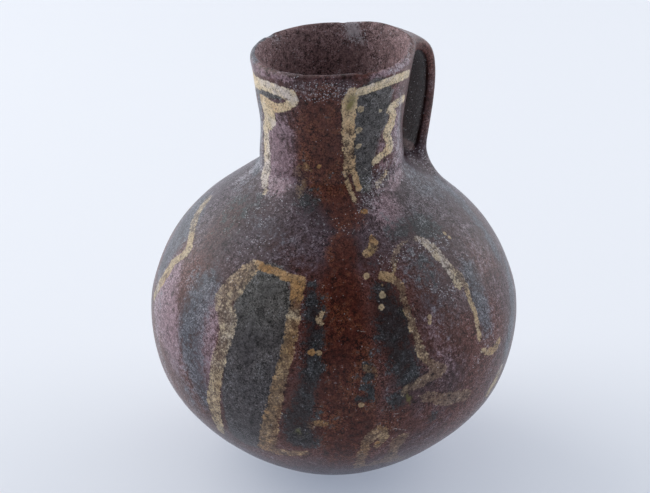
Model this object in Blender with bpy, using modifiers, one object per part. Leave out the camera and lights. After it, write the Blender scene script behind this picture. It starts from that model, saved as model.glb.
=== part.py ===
"""Hand-built earthenware jug: a round belly, a flaring neck and one strap handle, fired as one piece.

The jug is one closed solid, hollow and open at the mouth. Its axis is Z, its flat foot rests on
the plane Z = 0, and its handle points along +X. All sizes are in metres.

The shape is a coarse cage under a Subdivision Surface. The cage is a turned wall, outside and
inside, and a strap lofted between two windows left in the outside of that wall: one just under
the lip and one on the shoulder. The cage's rings are worked out so that the finished surface
passes through the stated sizes.
"""

import math

import bmesh
import bpy
import numpy as np
from mathutils import Vector

# Belly
BELLY_RADIUS = 0.080
BELLY_HEIGHT = 0.0685
LOWER_FULLNESS = 2.2
FOOT_RADIUS = 0.022
FOOT_EDGE_WIDTH = 0.0045
FOOT_SPREAD = 1.1
SHOULDER_RISE = 0.0705
SHOULDER_TURN = math.radians(54)
FILLET_RUN = 0.0190
FILLET_CLIMB = 0.0195

# Neck and mouth
NECK_LENGTH = 0.0483
NECK_LEAN = 0.0008
WAIST_RADIUS = 0.0296
WAIST_RISE = 0.0155
FLARE_POWER = 1.15
RIM_RADIUS = 0.0341
RIM_TILT = 0.0015
RIM_LIFT_AT_HANDLE = 0.0013
RIM_FLARE_AT_HANDLE = 0.0022
RIM_SPREAD = math.radians(50)
RIM_FLAT = math.radians(15)
LIP_THICKNESS = 0.0036
LIP_ROUNDING = 0.0016

# Wall
FOOT_WALL = 0.0075
BELLY_WALL = 0.0056
NECK_WALL = 0.0045

# Strap handle
STRAP_WIDTH = 0.0215
STRAP_THICKNESS = 0.0056
STRAP_BOW = 0.0007
TOP_WINDOW_DEPTH = 0.0055
SHOULDER_WINDOW_DROP = 0.0030

# How the strap's path sets off from its root at the lip and from its root on the shoulder
LIP_ARM_OUT = 0.0188
LIP_ARM_DOWN = 0.0006
SHOULDER_ARM_OUT = 0.0008
SHOULDER_ARM_UP = 0.0110

# Fineness of the cage
COLUMNS = 32
STRAP_HALF_COLUMNS = 2
STRAP_SECTIONS = 7
LOWER_RINGS = 5
UPPER_RINGS = 4
NECK_RINGS = 2
SUBDIVISIONS = 1

# Share of the strap cage's width that its smoothed edge keeps
SMOOTHED_WIDTH = 11 / 12

SHOULDER_TOP = BELLY_HEIGHT + SHOULDER_RISE
RIM_HEIGHT = SHOULDER_TOP + NECK_LENGTH
WAIST_HEIGHT = SHOULDER_TOP + WAIST_RISE
SLIP_COLOUR = (0.105, 0.042, 0.034, 1.0)
SLIP_ROUGHNESS = 0.55


def clear_scene():
    """Removes every object that the scene starts with."""
    for obj in list(bpy.data.objects):
        bpy.data.objects.remove(obj)


def smooth_step(value):
    """Rises from 0 to 1 as value goes from 0 to 1, level at both ends."""
    t = min(1.0, max(0.0, value))
    return t * t * (3 - 2 * t)


def bezier(p0, p1, p2, p3, t):
    """The point at t on a cubic curve with those four control points."""
    s = 1 - t
    return s**3 * p0 + 3 * s * s * t * p1 + 3 * s * t * t * p2 + t**3 * p3


def lower_belly(turn):
    """Outside of the belly below its widest ring: turn is 0 at the foot and a right angle at that ring."""
    outward = math.sin(turn) ** (2 / FOOT_SPREAD)
    below = math.cos(turn) ** (2 / LOWER_FULLNESS)
    edge = FOOT_RADIUS + FOOT_EDGE_WIDTH
    return Vector((edge + (BELLY_RADIUS - edge) * outward, BELLY_HEIGHT * (1 - below)))


def upper_belly(turn):
    """Outside of the belly above its widest ring, part of an ellipse: turn is 0 at that ring."""
    return Vector((BELLY_RADIUS * math.cos(turn), BELLY_HEIGHT + SHOULDER_RISE * math.sin(turn)))


def neck_root(t):
    """The hollow curve from the shoulder, at t 0, to the neck's waist, at t 1."""
    start = upper_belly(SHOULDER_TURN)
    slope = Vector((-BELLY_RADIUS * math.sin(SHOULDER_TURN), SHOULDER_RISE * math.cos(SHOULDER_TURN)))
    end = Vector((WAIST_RADIUS, WAIST_HEIGHT))
    return bezier(start, start + FILLET_RUN * slope.normalized(), end - Vector((0, FILLET_CLIMB)), end, t)


def neck_root_at(height):
    """The point of the hollow curve at that height, by halving."""
    low, high = 0.0, 1.0
    for _ in range(30):
        middle = (low + high) / 2
        if neck_root(middle).y < height:
            low = middle
        else:
            high = middle
    return neck_root(low)


def neck(height):
    """Outside of the neck above its waist, flaring to the rim."""
    share = (height - WAIST_HEIGHT) / (RIM_HEIGHT - WAIST_HEIGHT)
    return Vector((WAIST_RADIUS + (RIM_RADIUS - WAIST_RADIUS) * max(share, 0) ** FLARE_POWER, height))


def outside_rings():
    """The outer wall's rings from the foot to the lip, as (radius, height), and both windows' places."""
    rings = [lower_belly(math.pi / 2 * k / LOWER_RINGS) for k in range(1, LOWER_RINGS)]
    rings += [upper_belly(SHOULDER_TURN * k / UPPER_RINGS) for k in range(UPPER_RINGS + 1)]
    shoulder_window = len(rings) - 1
    rings.append(neck_root_at(SHOULDER_TOP - SHOULDER_WINDOW_DROP))
    rings.append(neck_root_at(SHOULDER_TOP + SHOULDER_WINDOW_DROP))
    lip_height = RIM_HEIGHT - LIP_ROUNDING
    upper = lip_height - TOP_WINDOW_DEPTH
    rings += [neck(WAIST_HEIGHT + (upper - WAIST_HEIGHT) * k / NECK_RINGS) for k in range(NECK_RINGS + 1)]
    top_window = len(rings) - 1
    rings.append(neck(lip_height))
    return rings, shoulder_window, top_window


def inside_rings():
    """The inner wall's rings from the lip down to the floor, each a wall's thickness in from the outside."""
    half = LIP_THICKNESS / 2
    rings = [
        Vector((RIM_RADIUS - half, RIM_HEIGHT)),
        Vector((RIM_RADIUS - LIP_THICKNESS, RIM_HEIGHT - LIP_ROUNDING)),
    ]
    for share in (0.7, 0.25):
        height = WAIST_HEIGHT + (RIM_HEIGHT - WAIST_HEIGHT) * share
        rings.append(neck(height) - Vector((NECK_WALL, 0)))
    rings.append(neck_root_at(SHOULDER_TOP) - Vector((NECK_WALL, 0)))
    inner_radius = BELLY_RADIUS - BELLY_WALL
    inner_rise = SHOULDER_RISE - BELLY_WALL
    inner_drop = BELLY_HEIGHT - FOOT_WALL
    for share in (0.95, 0.66, 0.33, 0.0):
        turn = SHOULDER_TURN * share
        rings.append(Vector((inner_radius * math.cos(turn), BELLY_HEIGHT + inner_rise * math.sin(turn))))
    edge = FOOT_RADIUS
    for share in (0.7, 0.4, 0.12):
        turn = math.pi / 2 * share
        outward = math.sin(turn) ** (2 / FOOT_SPREAD)
        below = math.cos(turn) ** (2 / LOWER_FULLNESS)
        rings.append(Vector((edge + (inner_radius - edge) * outward, BELLY_HEIGHT - inner_drop * below)))
    return rings


def cage_rings(rings, fixed):
    """Control rings whose subdivided surface passes through the given rings, apart from the fixed ones."""
    count = len(rings)
    weights = np.eye(count)
    for k in range(count):
        if k not in fixed:
            weights[k, k - 1 : k + 2] = (1 / 6, 4 / 6, 1 / 6)
    solved = np.linalg.solve(weights, np.array([tuple(ring) for ring in rings]))
    roundness = (4 + 2 * math.cos(2 * math.pi / COLUMNS)) / 6
    solved[:, 0] /= roundness
    return [Vector(ring) for ring in solved]


def neck_place(radius, angle, height):
    """A point of the wall: the neck leans back from the handle, and the mouth rises and opens towards it."""
    lean_start = BELLY_HEIGHT + SHOULDER_RISE / 2
    neck_share = smooth_step((height - lean_start) / (WAIST_HEIGHT - lean_start))
    rim_share = smooth_step((height - WAIST_HEIGHT) / (RIM_HEIGHT - WAIST_HEIGHT))
    from_handle = min(angle, 2 * math.pi - angle)
    near_handle = smooth_step((RIM_SPREAD - from_handle) / (RIM_SPREAD - RIM_FLAT))
    out = radius + rim_share * RIM_FLARE_AT_HANDLE * near_handle
    lift = rim_share * (RIM_TILT * math.cos(angle) + RIM_LIFT_AT_HANDLE * near_handle)
    return out * math.cos(angle) - neck_share * NECK_LEAN, out * math.sin(angle), height + lift


def turned_wall(cage):
    """A mesh of the whole wall, turned from one closed run of rings, with the rings as lists of vertices."""
    mesh = bmesh.new()
    columns = []
    for column in range(COLUMNS):
        angle = 2 * math.pi * column / COLUMNS
        columns.append([mesh.verts.new(neck_place(ring.x, angle, ring.y)) for ring in cage[1:-1]])
    under = mesh.verts.new((0, 0, cage[0].y))
    floor = mesh.verts.new((0, 0, cage[-1].y))
    for column in range(COLUMNS):
        here, there = columns[column], columns[(column + 1) % COLUMNS]
        mesh.faces.new((under, there[0], here[0]))
        for k in range(len(here) - 1):
            mesh.faces.new((here[k], there[k], there[k + 1], here[k + 1]))
        mesh.faces.new((floor, here[-1], there[-1]))
    return mesh, columns


def cut_window(mesh, columns, ring):
    """Removes the faces above a ring across the handle, and returns the hole's lower and upper edge."""
    span = range(-STRAP_HALF_COLUMNS, STRAP_HALF_COLUMNS + 1)
    lower = [columns[k % COLUMNS][ring] for k in span]
    upper = [columns[k % COLUMNS][ring + 1] for k in span]
    corners = set(lower + upper)
    inner = [face for face in mesh.faces if set(face.verts) <= corners]
    bmesh.ops.delete(mesh, geom=inner, context="FACES_KEEP_BOUNDARY")
    return lower, upper


def middle_of(points):
    """The middle vertex's (distance from the axis, height)."""
    co = points[len(points) // 2].co
    return Vector((co.x, co.z))


def strap_sections(mesh, outer_start, inner_start, outer_end, inner_end):
    """Rows of vertices along the strap, outer and inner, from the lip's window to the shoulder's."""
    start = (middle_of(outer_start) + middle_of(inner_start)) / 2
    end = (middle_of(outer_end) + middle_of(inner_end)) / 2
    lip_arm = Vector((LIP_ARM_OUT, -LIP_ARM_DOWN))
    shoulder_arm = Vector((SHOULDER_ARM_OUT, SHOULDER_ARM_UP))
    path = (start, start + lip_arm, end + shoulder_arm, end)
    half_width = STRAP_WIDTH / 2 / SMOOTHED_WIDTH
    loops = [(outer_start, inner_start)]
    for section in range(1, STRAP_SECTIONS + 1):
        t = section / (STRAP_SECTIONS + 1)
        centre = bezier(*path, t)
        ahead = bezier(*path, t + 0.01) - bezier(*path, t - 0.01)
        outward = Vector((-ahead.y, ahead.x)).normalized()
        outer, inner = [], []
        for column in range(-STRAP_HALF_COLUMNS, STRAP_HALF_COLUMNS + 1):
            share = column / STRAP_HALF_COLUMNS
            bow = STRAP_BOW * (1 - 2 * share * share)
            for row, side in ((outer, 0.5), (inner, -0.5)):
                place = centre + outward * (side * STRAP_THICKNESS + bow)
                row.append(mesh.verts.new((place.x, share * half_width, place.y)))
        loops.append((outer, inner))
    loops.append((outer_end, inner_end))
    return loops


def skin_strap(mesh, loops):
    """Faces between each two loops of the strap."""
    for (outer, inner), (next_outer, next_inner) in zip(loops, loops[1:]):
        here = outer + inner[::-1]
        there = next_outer + next_inner[::-1]
        for k in range(len(here)):
            after = (k + 1) % len(here)
            mesh.faces.new((here[k], here[after], there[after], there[k]))


def jug_mesh():
    """The whole cage as one closed mesh."""
    outside, shoulder_window, top_window = outside_rings()
    foot = [Vector((share * FOOT_RADIUS, 0)) for share in (0, 0.5, 1)]
    foot.append(Vector((FOOT_RADIUS + FOOT_EDGE_WIDTH, 0)))
    inside = inside_rings()
    floor = [Vector((FOOT_RADIUS / 2, FOOT_WALL)), Vector((0, FOOT_WALL))]
    rings = foot + outside + inside + floor
    last = len(rings) - 1
    cage = cage_rings(rings, fixed={*range(len(foot)), last - 1, last})
    mesh, columns = turned_wall(cage)
    first = len(foot) - 1
    top_lower, top_upper = cut_window(mesh, columns, first + top_window)
    low_lower, low_upper = cut_window(mesh, columns, first + shoulder_window)
    skin_strap(mesh, strap_sections(mesh, top_upper, top_lower, low_lower, low_upper))
    bmesh.ops.recalc_face_normals(mesh, faces=mesh.faces)
    return mesh


def slip_material():
    """The dark red-brown slip that covers the whole jug."""
    material = bpy.data.materials.new("dark_red_slip")
    material.use_nodes = True
    shader = material.node_tree.nodes["Principled BSDF"]
    shader.inputs["Base Color"].default_value = SLIP_COLOUR
    shader.inputs["Roughness"].default_value = SLIP_ROUGHNESS
    shader.inputs["Metallic"].default_value = 0.0
    return material


def build_jug(collection):
    """The jug's one object, smooth over its cage."""
    cage = jug_mesh()
    mesh = bpy.data.meshes.new("jug")
    cage.to_mesh(mesh)
    cage.free()
    mesh.shade_smooth()
    mesh.materials.append(slip_material())
    jug = bpy.data.objects.new("jug", mesh)
    collection.objects.link(jug)
    smooth = jug.modifiers.new("smooth_clay", "SUBSURF")
    smooth.levels = SUBDIVISIONS
    smooth.render_levels = SUBDIVISIONS
    return jug


def main():
    """Builds the jug in a collection of its own."""
    clear_scene()
    collection = bpy.data.collections.new("jug")
    bpy.context.scene.collection.children.link(collection)
    build_jug(collection)


main()
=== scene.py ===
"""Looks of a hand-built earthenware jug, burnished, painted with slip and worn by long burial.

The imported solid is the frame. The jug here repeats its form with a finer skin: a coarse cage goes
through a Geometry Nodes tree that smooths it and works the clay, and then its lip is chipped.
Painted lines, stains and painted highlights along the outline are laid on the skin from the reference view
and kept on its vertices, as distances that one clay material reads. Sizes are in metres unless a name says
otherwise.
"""

from __future__ import annotations

import logging
import math
from dataclasses import dataclass, field, fields
from enum import Enum
from functools import reduce

import bmesh
import bpy
import numpy as np
from mathutils import Euler, Matrix, Vector
from mathutils.bvhtree import BVHTree

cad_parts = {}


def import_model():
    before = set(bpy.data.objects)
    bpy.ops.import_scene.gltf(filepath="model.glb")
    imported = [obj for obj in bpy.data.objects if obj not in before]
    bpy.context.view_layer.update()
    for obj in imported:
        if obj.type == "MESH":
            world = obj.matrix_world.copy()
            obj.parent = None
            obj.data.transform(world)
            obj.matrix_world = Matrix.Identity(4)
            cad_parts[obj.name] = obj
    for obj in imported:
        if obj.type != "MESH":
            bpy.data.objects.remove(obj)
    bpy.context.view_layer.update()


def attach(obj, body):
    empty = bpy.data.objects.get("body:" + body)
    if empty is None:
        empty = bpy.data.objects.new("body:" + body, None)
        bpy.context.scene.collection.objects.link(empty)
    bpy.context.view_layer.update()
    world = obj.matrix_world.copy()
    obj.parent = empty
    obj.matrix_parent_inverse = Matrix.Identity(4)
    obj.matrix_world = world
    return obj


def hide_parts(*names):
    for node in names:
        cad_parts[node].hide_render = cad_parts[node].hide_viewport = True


log = logging.getLogger("jug")

MM = 0.001


def smooth_step(value: float | np.ndarray) -> float | np.ndarray:
    """Rises from 0 to 1 as a number, or each of an array, goes from 0 to 1, level at both ends."""
    t = np.clip(value, 0.0, 1.0)
    return t * t * (3 - 2 * t)


def bezier(p0: Vector, p1: Vector, p2: Vector, p3: Vector, t: float) -> Vector:
    """The point at t on a cubic curve with those four control points."""
    s = 1 - t
    return s**3 * p0 + 3 * s * s * t * p1 + 3 * s * t * t * p2 + t**3 * p3


# The view


@dataclass(frozen=True)
class ReferenceView:
    """The camera's place and lens, worked out from the reference frame of 650 by 493 pixels."""

    distance: float = 0.720
    height: float = 0.413
    azimuth: float = math.radians(35)
    pitch: float = math.radians(23.63)
    focal_pixels: float = 1811.0
    frame_width: float = 650.0
    frame_height: float = 493.0
    axis_pixel: float = 333.6
    sensor_width: float = 36.0

    def place(self) -> Vector:
        """Where the camera stands."""
        across, back = math.sin(self.azimuth), math.cos(self.azimuth)
        return Vector((-self.distance * across, -self.distance * back, self.height))

    def turn(self) -> Euler:
        """How the camera is turned."""
        return Euler((math.pi / 2 - self.pitch, 0.0, -self.azimuth))

    def ray(self, x: float, y: float) -> Vector:
        """The direction that a pixel of the frame looks in.

        Args:
            x: Pixels from the frame's left edge.
            y: Pixels from the frame's upper edge.

        Returns:
            A unit vector.
        """
        across = (x - self.axis_pixel) / self.focal_pixels
        up = (self.frame_height / 2 - y) / self.focal_pixels
        direction = Vector((across, up, -1.0))
        direction.rotate(self.turn())
        return direction.normalized()

    def add_camera(self) -> None:
        """Adds the camera and makes it the scene's own."""
        data = bpy.data.cameras.new("reference_view")
        data.sensor_width = self.sensor_width
        data.lens = self.focal_pixels / self.frame_width * self.sensor_width
        data.shift_x = (self.frame_width / 2 - self.axis_pixel) / self.frame_width
        camera = bpy.data.objects.new("reference_view", data)
        camera.location = self.place()
        camera.rotation_euler = self.turn()
        bpy.context.scene.collection.objects.link(camera)
        bpy.context.scene.camera = camera


# Node trees


@dataclass(frozen=True)
class Value:
    """A number or colour in a node tree; the operators add Math nodes to the tree."""

    tree: bpy.types.NodeTree
    socket: bpy.types.NodeSocket

    def maths(self, operation: str, *operands: Value | float) -> Value:
        """A Math node on the given operands."""
        node = self.tree.nodes.new("ShaderNodeMath")
        node.operation = operation
        for slot, operand in zip(node.inputs, operands):
            if isinstance(operand, Value):
                self.tree.links.new(operand.socket, slot)
            else:
                slot.default_value = operand
        return Value(self.tree, node.outputs[0])

    def __add__(self, other: Value | float) -> Value:
        """self + other."""
        return self.maths("ADD", self, other)

    __radd__ = __add__

    def __sub__(self, other: Value | float) -> Value:
        """self - other."""
        return self.maths("SUBTRACT", self, other)

    def __rsub__(self, other: float) -> Value:
        """other - self."""
        return self.maths("SUBTRACT", other, self)

    def __mul__(self, other: Value | float) -> Value:
        """self * other."""
        return self.maths("MULTIPLY", self, other)

    def __truediv__(self, other: Value | float) -> Value:
        """self / other."""
        return self.maths("DIVIDE", self, other)

    def __pow__(self, exponent: float) -> Value:
        """self to that power."""
        return self.maths("POWER", self, exponent)

    def larger(self, other: Value | float) -> Value:
        """The larger of the two."""
        return self.maths("MAXIMUM", self, other)

    def smaller(self, other: Value | float) -> Value:
        """The smaller of the two."""
        return self.maths("MINIMUM", self, other)

    def held(self, low: float = 0.0, high: float = 1.0) -> Value:
        """self, held between low and high."""
        return self.larger(low).smaller(high)

    def rise(self, low: float, high: float) -> Value:
        """0 up to low, 1 from high, and smooth between."""
        node = self.tree.nodes.new("ShaderNodeMapRange")
        node.interpolation_type = "SMOOTHSTEP"
        self.tree.links.new(self.socket, node.inputs["Value"])
        node.inputs["From Min"].default_value = low
        node.inputs["From Max"].default_value = high
        return Value(self.tree, node.outputs["Result"])


@dataclass(frozen=True)
class Nodes:
    """Adds nodes to one tree."""

    tree: bpy.types.NodeTree

    def add(
        self,
        kind: str,
        settings: dict[str, object] | None = None,
        sockets: dict[str | int, object] | None = None,
    ) -> bpy.types.Node:
        """Adds a node.

        Args:
            kind: The node's type.
            settings: Its own properties, set before its sockets.
            sockets: Values or links of its inputs, by name or number.

        Returns:
            The node.
        """
        node = self.tree.nodes.new(kind)
        for name, value in (settings or {}).items():
            setattr(node, name, value)
        for name, value in (sockets or {}).items():
            if isinstance(value, Value):
                self.tree.links.new(value.socket, node.inputs[name])
            else:
                node.inputs[name].default_value = value
        return node

    def out(self, node: bpy.types.Node, name: str | int = 0) -> Value:
        """One of a node's outputs."""
        return Value(self.tree, node.outputs[name])

    def noise(
        self, place: Value, scale: Value | float, detail: float, rough: float, seed: Value | float
    ) -> Value:
        """Cloudy noise around one half.

        Args:
            place: The point that it is read at.
            scale: Blobs to a metre.
            detail: Finer layers in it.
            rough: How strong the finer layers are.
            seed: Another value gives another pattern.

        Returns:
            The noise, mostly from 0.2 to 0.8.
        """
        sockets = {"Vector": place, "W": seed, "Scale": scale, "Detail": detail, "Roughness": rough}
        return self.out(self.add("ShaderNodeTexNoise", {"noise_dimensions": "4D"}, sockets))

    def cells(self, place: Value, scale: float, channel: int) -> tuple[Value, Value]:
        """Scattered points: how far off the nearest is, and its own chance number from 0 to 1."""
        node = self.add("ShaderNodeTexVoronoi", {"feature": "F1"}, {"Vector": place, "Scale": scale})
        parts = self.add("ShaderNodeSeparateColor", None, {0: self.out(node, "Color")})
        return self.out(node, "Distance"), self.out(parts, channel)

    def mix(self, share: Value | float, under: Value | tuple, over: Value | tuple) -> Value:
        """The colour under, with a share of over laid on it."""
        node = self.add("ShaderNodeMix", {"data_type": "RGBA"}, {0: share, 6: under, 7: over})
        return self.out(node, 2)

    def scaled(self, colour: Value | Vector, factor: Value) -> Value:
        """A colour made lighter or darker, or a vector made longer or shorter."""
        sockets = {0: colour, "Scale": factor}
        return self.out(self.add("ShaderNodeVectorMath", {"operation": "SCALE"}, sockets))

    def pair(self, operation: str, first: Value, second: Value | Vector) -> Value:
        """A Vector Math node on two vectors; SUBTRACT gives a vector, the others a number."""
        node = self.add("ShaderNodeVectorMath", {"operation": operation}, {0: first, 1: second})
        return self.out(node, "Vector" if operation == "SUBTRACT" else "Value")


def total(values: list[Value]) -> Value:
    """The sum of several values of one tree."""
    return reduce(Value.__add__, values)


def largest(values: list[Value]) -> Value:
    """The largest of several values of one tree."""
    return reduce(Value.larger, values)


# The form


@dataclass
class JugForm:
    """The jug's sizes, and the coarse cage that they give.

    The cage is a turned wall, outside and inside, and a strap lofted between two windows left in
    the outside of that wall. Its rings are worked out so that the finished surface passes through
    the stated sizes. The axis is Z, the foot stands on Z = 0, and the handle is at +X.
    """

    belly_radius: float = 0.080
    belly_height: float = 0.0685
    lower_fullness: float = 2.2
    foot_radius: float = 0.022
    foot_edge_width: float = 0.0045
    foot_spread: float = 1.1
    shoulder_rise: float = 0.0705
    shoulder_turn: float = math.radians(54)
    fillet_run: float = 0.0190
    fillet_climb: float = 0.0195
    neck_length: float = 0.0483
    neck_lean: float = 0.0011
    waist_radius: float = 0.0299
    waist_rise: float = 0.0155
    flare_power: float = 1.15
    rim_radius: float = 0.0341
    rim_tilt: float = 0.0015
    rim_lift_at_handle: float = 0.0013
    rim_flare_at_handle: float = 0.0022
    rim_spread: float = math.radians(50)
    rim_flat: float = math.radians(15)
    lip_thickness: float = 0.0036
    lip_rounding: float = 0.0016
    foot_wall: float = 0.0075
    belly_wall: float = 0.0056
    neck_wall: float = 0.0045
    strap_width: float = 0.0215
    strap_thickness: float = 0.0056
    strap_bow: float = 0.0007
    top_window_depth: float = 0.0055
    shoulder_window_drop: float = 0.0030
    lip_arm: Vector = field(default_factory=lambda: Vector((0.0188, -0.0006)))
    shoulder_arm: Vector = field(default_factory=lambda: Vector((0.0008, 0.0110)))
    columns: int = 48
    strap_half_columns: int = 3
    strap_sections: int = 7
    lower_rings: int = 5
    upper_rings: int = 4
    neck_rings: int = 2
    inner_neck_stations: tuple[float, ...] = (0.7, 0.25)
    inner_shoulder_stations: tuple[float, ...] = (0.95, 0.5, 0.0)
    inner_floor_stations: tuple[float, ...] = (0.6, 0.2)
    halvings: int = 30

    @property
    def shoulder_top(self) -> float:
        """Height where the belly would close without its neck."""
        return self.belly_height + self.shoulder_rise

    @property
    def rim_height(self) -> float:
        """Height of the lip's crest before its tilt."""
        return self.shoulder_top + self.neck_length

    @property
    def waist_height(self) -> float:
        """Height of the neck's narrowest ring."""
        return self.shoulder_top + self.waist_rise

    def lower_belly(self, turn: float, foot: float, radius: float, depth: float) -> Vector:
        """The belly below its widest ring, outside or inside.

        Args:
            turn: 0 at the foot, a right angle at the widest ring.
            foot: Radius at the foot.
            radius: Radius at the widest ring.
            depth: How far the foot lies below that ring.

        Returns:
            The ring there as (radius, height).
        """
        outward = math.sin(turn) ** (2 / self.foot_spread)
        below = math.cos(turn) ** (2 / self.lower_fullness)
        return Vector((foot + (radius - foot) * outward, self.belly_height - depth * below))

    def upper_belly(self, turn: float, wall: float = 0.0) -> Vector:
        """The belly above its widest ring, part of an ellipse, so far in from its outside."""
        radius, rise = self.belly_radius - wall, self.shoulder_rise - wall
        return Vector((radius * math.cos(turn), self.belly_height + rise * math.sin(turn)))

    def neck_root(self, t: float) -> Vector:
        """The hollow curve from the shoulder, at t 0, to the neck's waist, at t 1."""
        start = self.upper_belly(self.shoulder_turn)
        inward = -self.belly_radius * math.sin(self.shoulder_turn)
        slope = Vector((inward, self.shoulder_rise * math.cos(self.shoulder_turn)))
        end = Vector((self.waist_radius, self.waist_height))
        leave = start + self.fillet_run * slope.normalized()
        return bezier(start, leave, end - Vector((0, self.fillet_climb)), end, t)

    def neck_root_at(self, height: float) -> Vector:
        """The point of the hollow curve at that height, by halving."""
        low, high = 0.0, 1.0
        for _ in range(self.halvings):
            middle = (low + high) / 2
            if self.neck_root(middle).y < height:
                low = middle
            else:
                high = middle
        return self.neck_root(low)

    def neck(self, height: float) -> Vector:
        """Outside of the neck above its waist, flaring to the rim."""
        share = (height - self.waist_height) / (self.rim_height - self.waist_height)
        flare = (self.rim_radius - self.waist_radius) * max(share, 0) ** self.flare_power
        return Vector((self.waist_radius + flare, height))

    def outside_rings(self) -> tuple[list[Vector], int, int]:
        """The outer wall from the foot to the lip.

        Returns:
            The rings as (radius, height), and the rings that the shoulder's and the lip's windows
            start from.
        """
        step = math.pi / 2 / self.lower_rings
        belly = (self.foot_radius + self.foot_edge_width, self.belly_radius, self.belly_height)
        rings = [self.lower_belly(step * k, *belly) for k in range(1, self.lower_rings)]
        climb = self.shoulder_turn / self.upper_rings
        rings += [self.upper_belly(climb * k) for k in range(self.upper_rings + 1)]
        shoulder_window = len(rings) - 1
        for drop in (-self.shoulder_window_drop, self.shoulder_window_drop):
            rings.append(self.neck_root_at(self.shoulder_top + drop))
        lip_height = self.rim_height - self.lip_rounding
        rise = (lip_height - self.top_window_depth - self.waist_height) / self.neck_rings
        rings += [self.neck(self.waist_height + rise * k) for k in range(self.neck_rings + 1)]
        top_window = len(rings) - 1
        rings.append(self.neck(lip_height))
        return rings, shoulder_window, top_window

    def inside_rings(self) -> list[Vector]:
        """The inner wall from the lip down to the floor, a wall's thickness in from the outside."""
        rings = [
            Vector((self.rim_radius - self.lip_thickness / 2, self.rim_height)),
            Vector((self.rim_radius - self.lip_thickness, self.rim_height - self.lip_rounding)),
        ]
        for share in self.inner_neck_stations:
            height = self.waist_height + (self.rim_height - self.waist_height) * share
            rings.append(self.neck(height) - Vector((self.neck_wall, 0)))
        rings.append(self.neck_root_at(self.shoulder_top) - Vector((self.neck_wall, 0)))
        for share in self.inner_shoulder_stations:
            rings.append(self.upper_belly(self.shoulder_turn * share, self.belly_wall))
        belly = (self.foot_radius, self.belly_radius - self.belly_wall, self.belly_height - self.foot_wall)
        rings += [self.lower_belly(math.pi / 2 * share, *belly) for share in self.inner_floor_stations]
        return rings

    def solve_cage(self, rings: list[Vector], fixed: set[int]) -> list[Vector]:
        """Control rings whose smoothed surface passes through the given rings, but for the fixed ones."""
        count = len(rings)
        weights = np.eye(count)
        for k in range(count):
            if k not in fixed:
                weights[k, k - 1 : k + 2] = (1 / 6, 4 / 6, 1 / 6)
        solved = np.linalg.solve(weights, np.array([tuple(ring) for ring in rings]))
        solved[:, 0] /= (4 + 2 * math.cos(2 * math.pi / self.columns)) / 6
        return [Vector(ring) for ring in solved]

    def rim_share(self, height: float | np.ndarray) -> float | np.ndarray:
        """0 up to the waist, and smoothly up to 1 at the lip."""
        return smooth_step((height - self.waist_height) / (self.rim_height - self.waist_height))

    def wall_place(self, radius: float, angle: float, height: float) -> Vector:
        """A point of the wall: the neck leans back, and the mouth rises and opens towards the handle."""
        lean_start = self.belly_height + self.shoulder_rise / 2
        neck_share = smooth_step((height - lean_start) / (self.waist_height - lean_start))
        rim_share = self.rim_share(height)
        from_handle = min(angle, 2 * math.pi - angle)
        near_handle = smooth_step((self.rim_spread - from_handle) / (self.rim_spread - self.rim_flat))
        out = radius + rim_share * self.rim_flare_at_handle * near_handle
        lift = rim_share * (self.rim_tilt * math.cos(angle) + self.rim_lift_at_handle * near_handle)
        x = out * math.cos(angle) - neck_share * self.neck_lean
        return Vector((x, out * math.sin(angle), height + lift))

    def turned_wall(self, cage: list[Vector]) -> tuple[bmesh.types.BMesh, list[list]]:
        """The whole wall, turned from one closed run of rings.

        Args:
            cage: The run from under the foot, over the lip, to the inner floor.

        Returns:
            The mesh and its vertices, column by column.
        """
        mesh = bmesh.new()
        columns = []
        for column in range(self.columns):
            angle = 2 * math.pi * column / self.columns
            columns.append([mesh.verts.new(self.wall_place(ring.x, angle, ring.y)) for ring in cage[1:-1]])
        under = mesh.verts.new((0, 0, cage[0].y))
        floor = mesh.verts.new((0, 0, cage[-1].y))
        for column in range(self.columns):
            here, there = columns[column], columns[(column + 1) % self.columns]
            mesh.faces.new((under, there[0], here[0]))
            for k in range(len(here) - 1):
                mesh.faces.new((here[k], there[k], there[k + 1], here[k + 1]))
            mesh.faces.new((floor, here[-1], there[-1]))
        return mesh, columns

    def cut_window(self, mesh: bmesh.types.BMesh, columns: list[list], ring: int) -> tuple[list, list]:
        """Opens the wall above a ring across the handle, and returns the hole's lower and upper edge."""
        span = range(-self.strap_half_columns, self.strap_half_columns + 1)
        lower = [columns[k % self.columns][ring] for k in span]
        upper = [columns[k % self.columns][ring + 1] for k in span]
        corners = set(lower + upper)
        inner = [face for face in mesh.faces if set(face.verts) <= corners]
        bmesh.ops.delete(mesh, geom=inner, context="FACES_KEEP_BOUNDARY")
        return lower, upper

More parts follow.
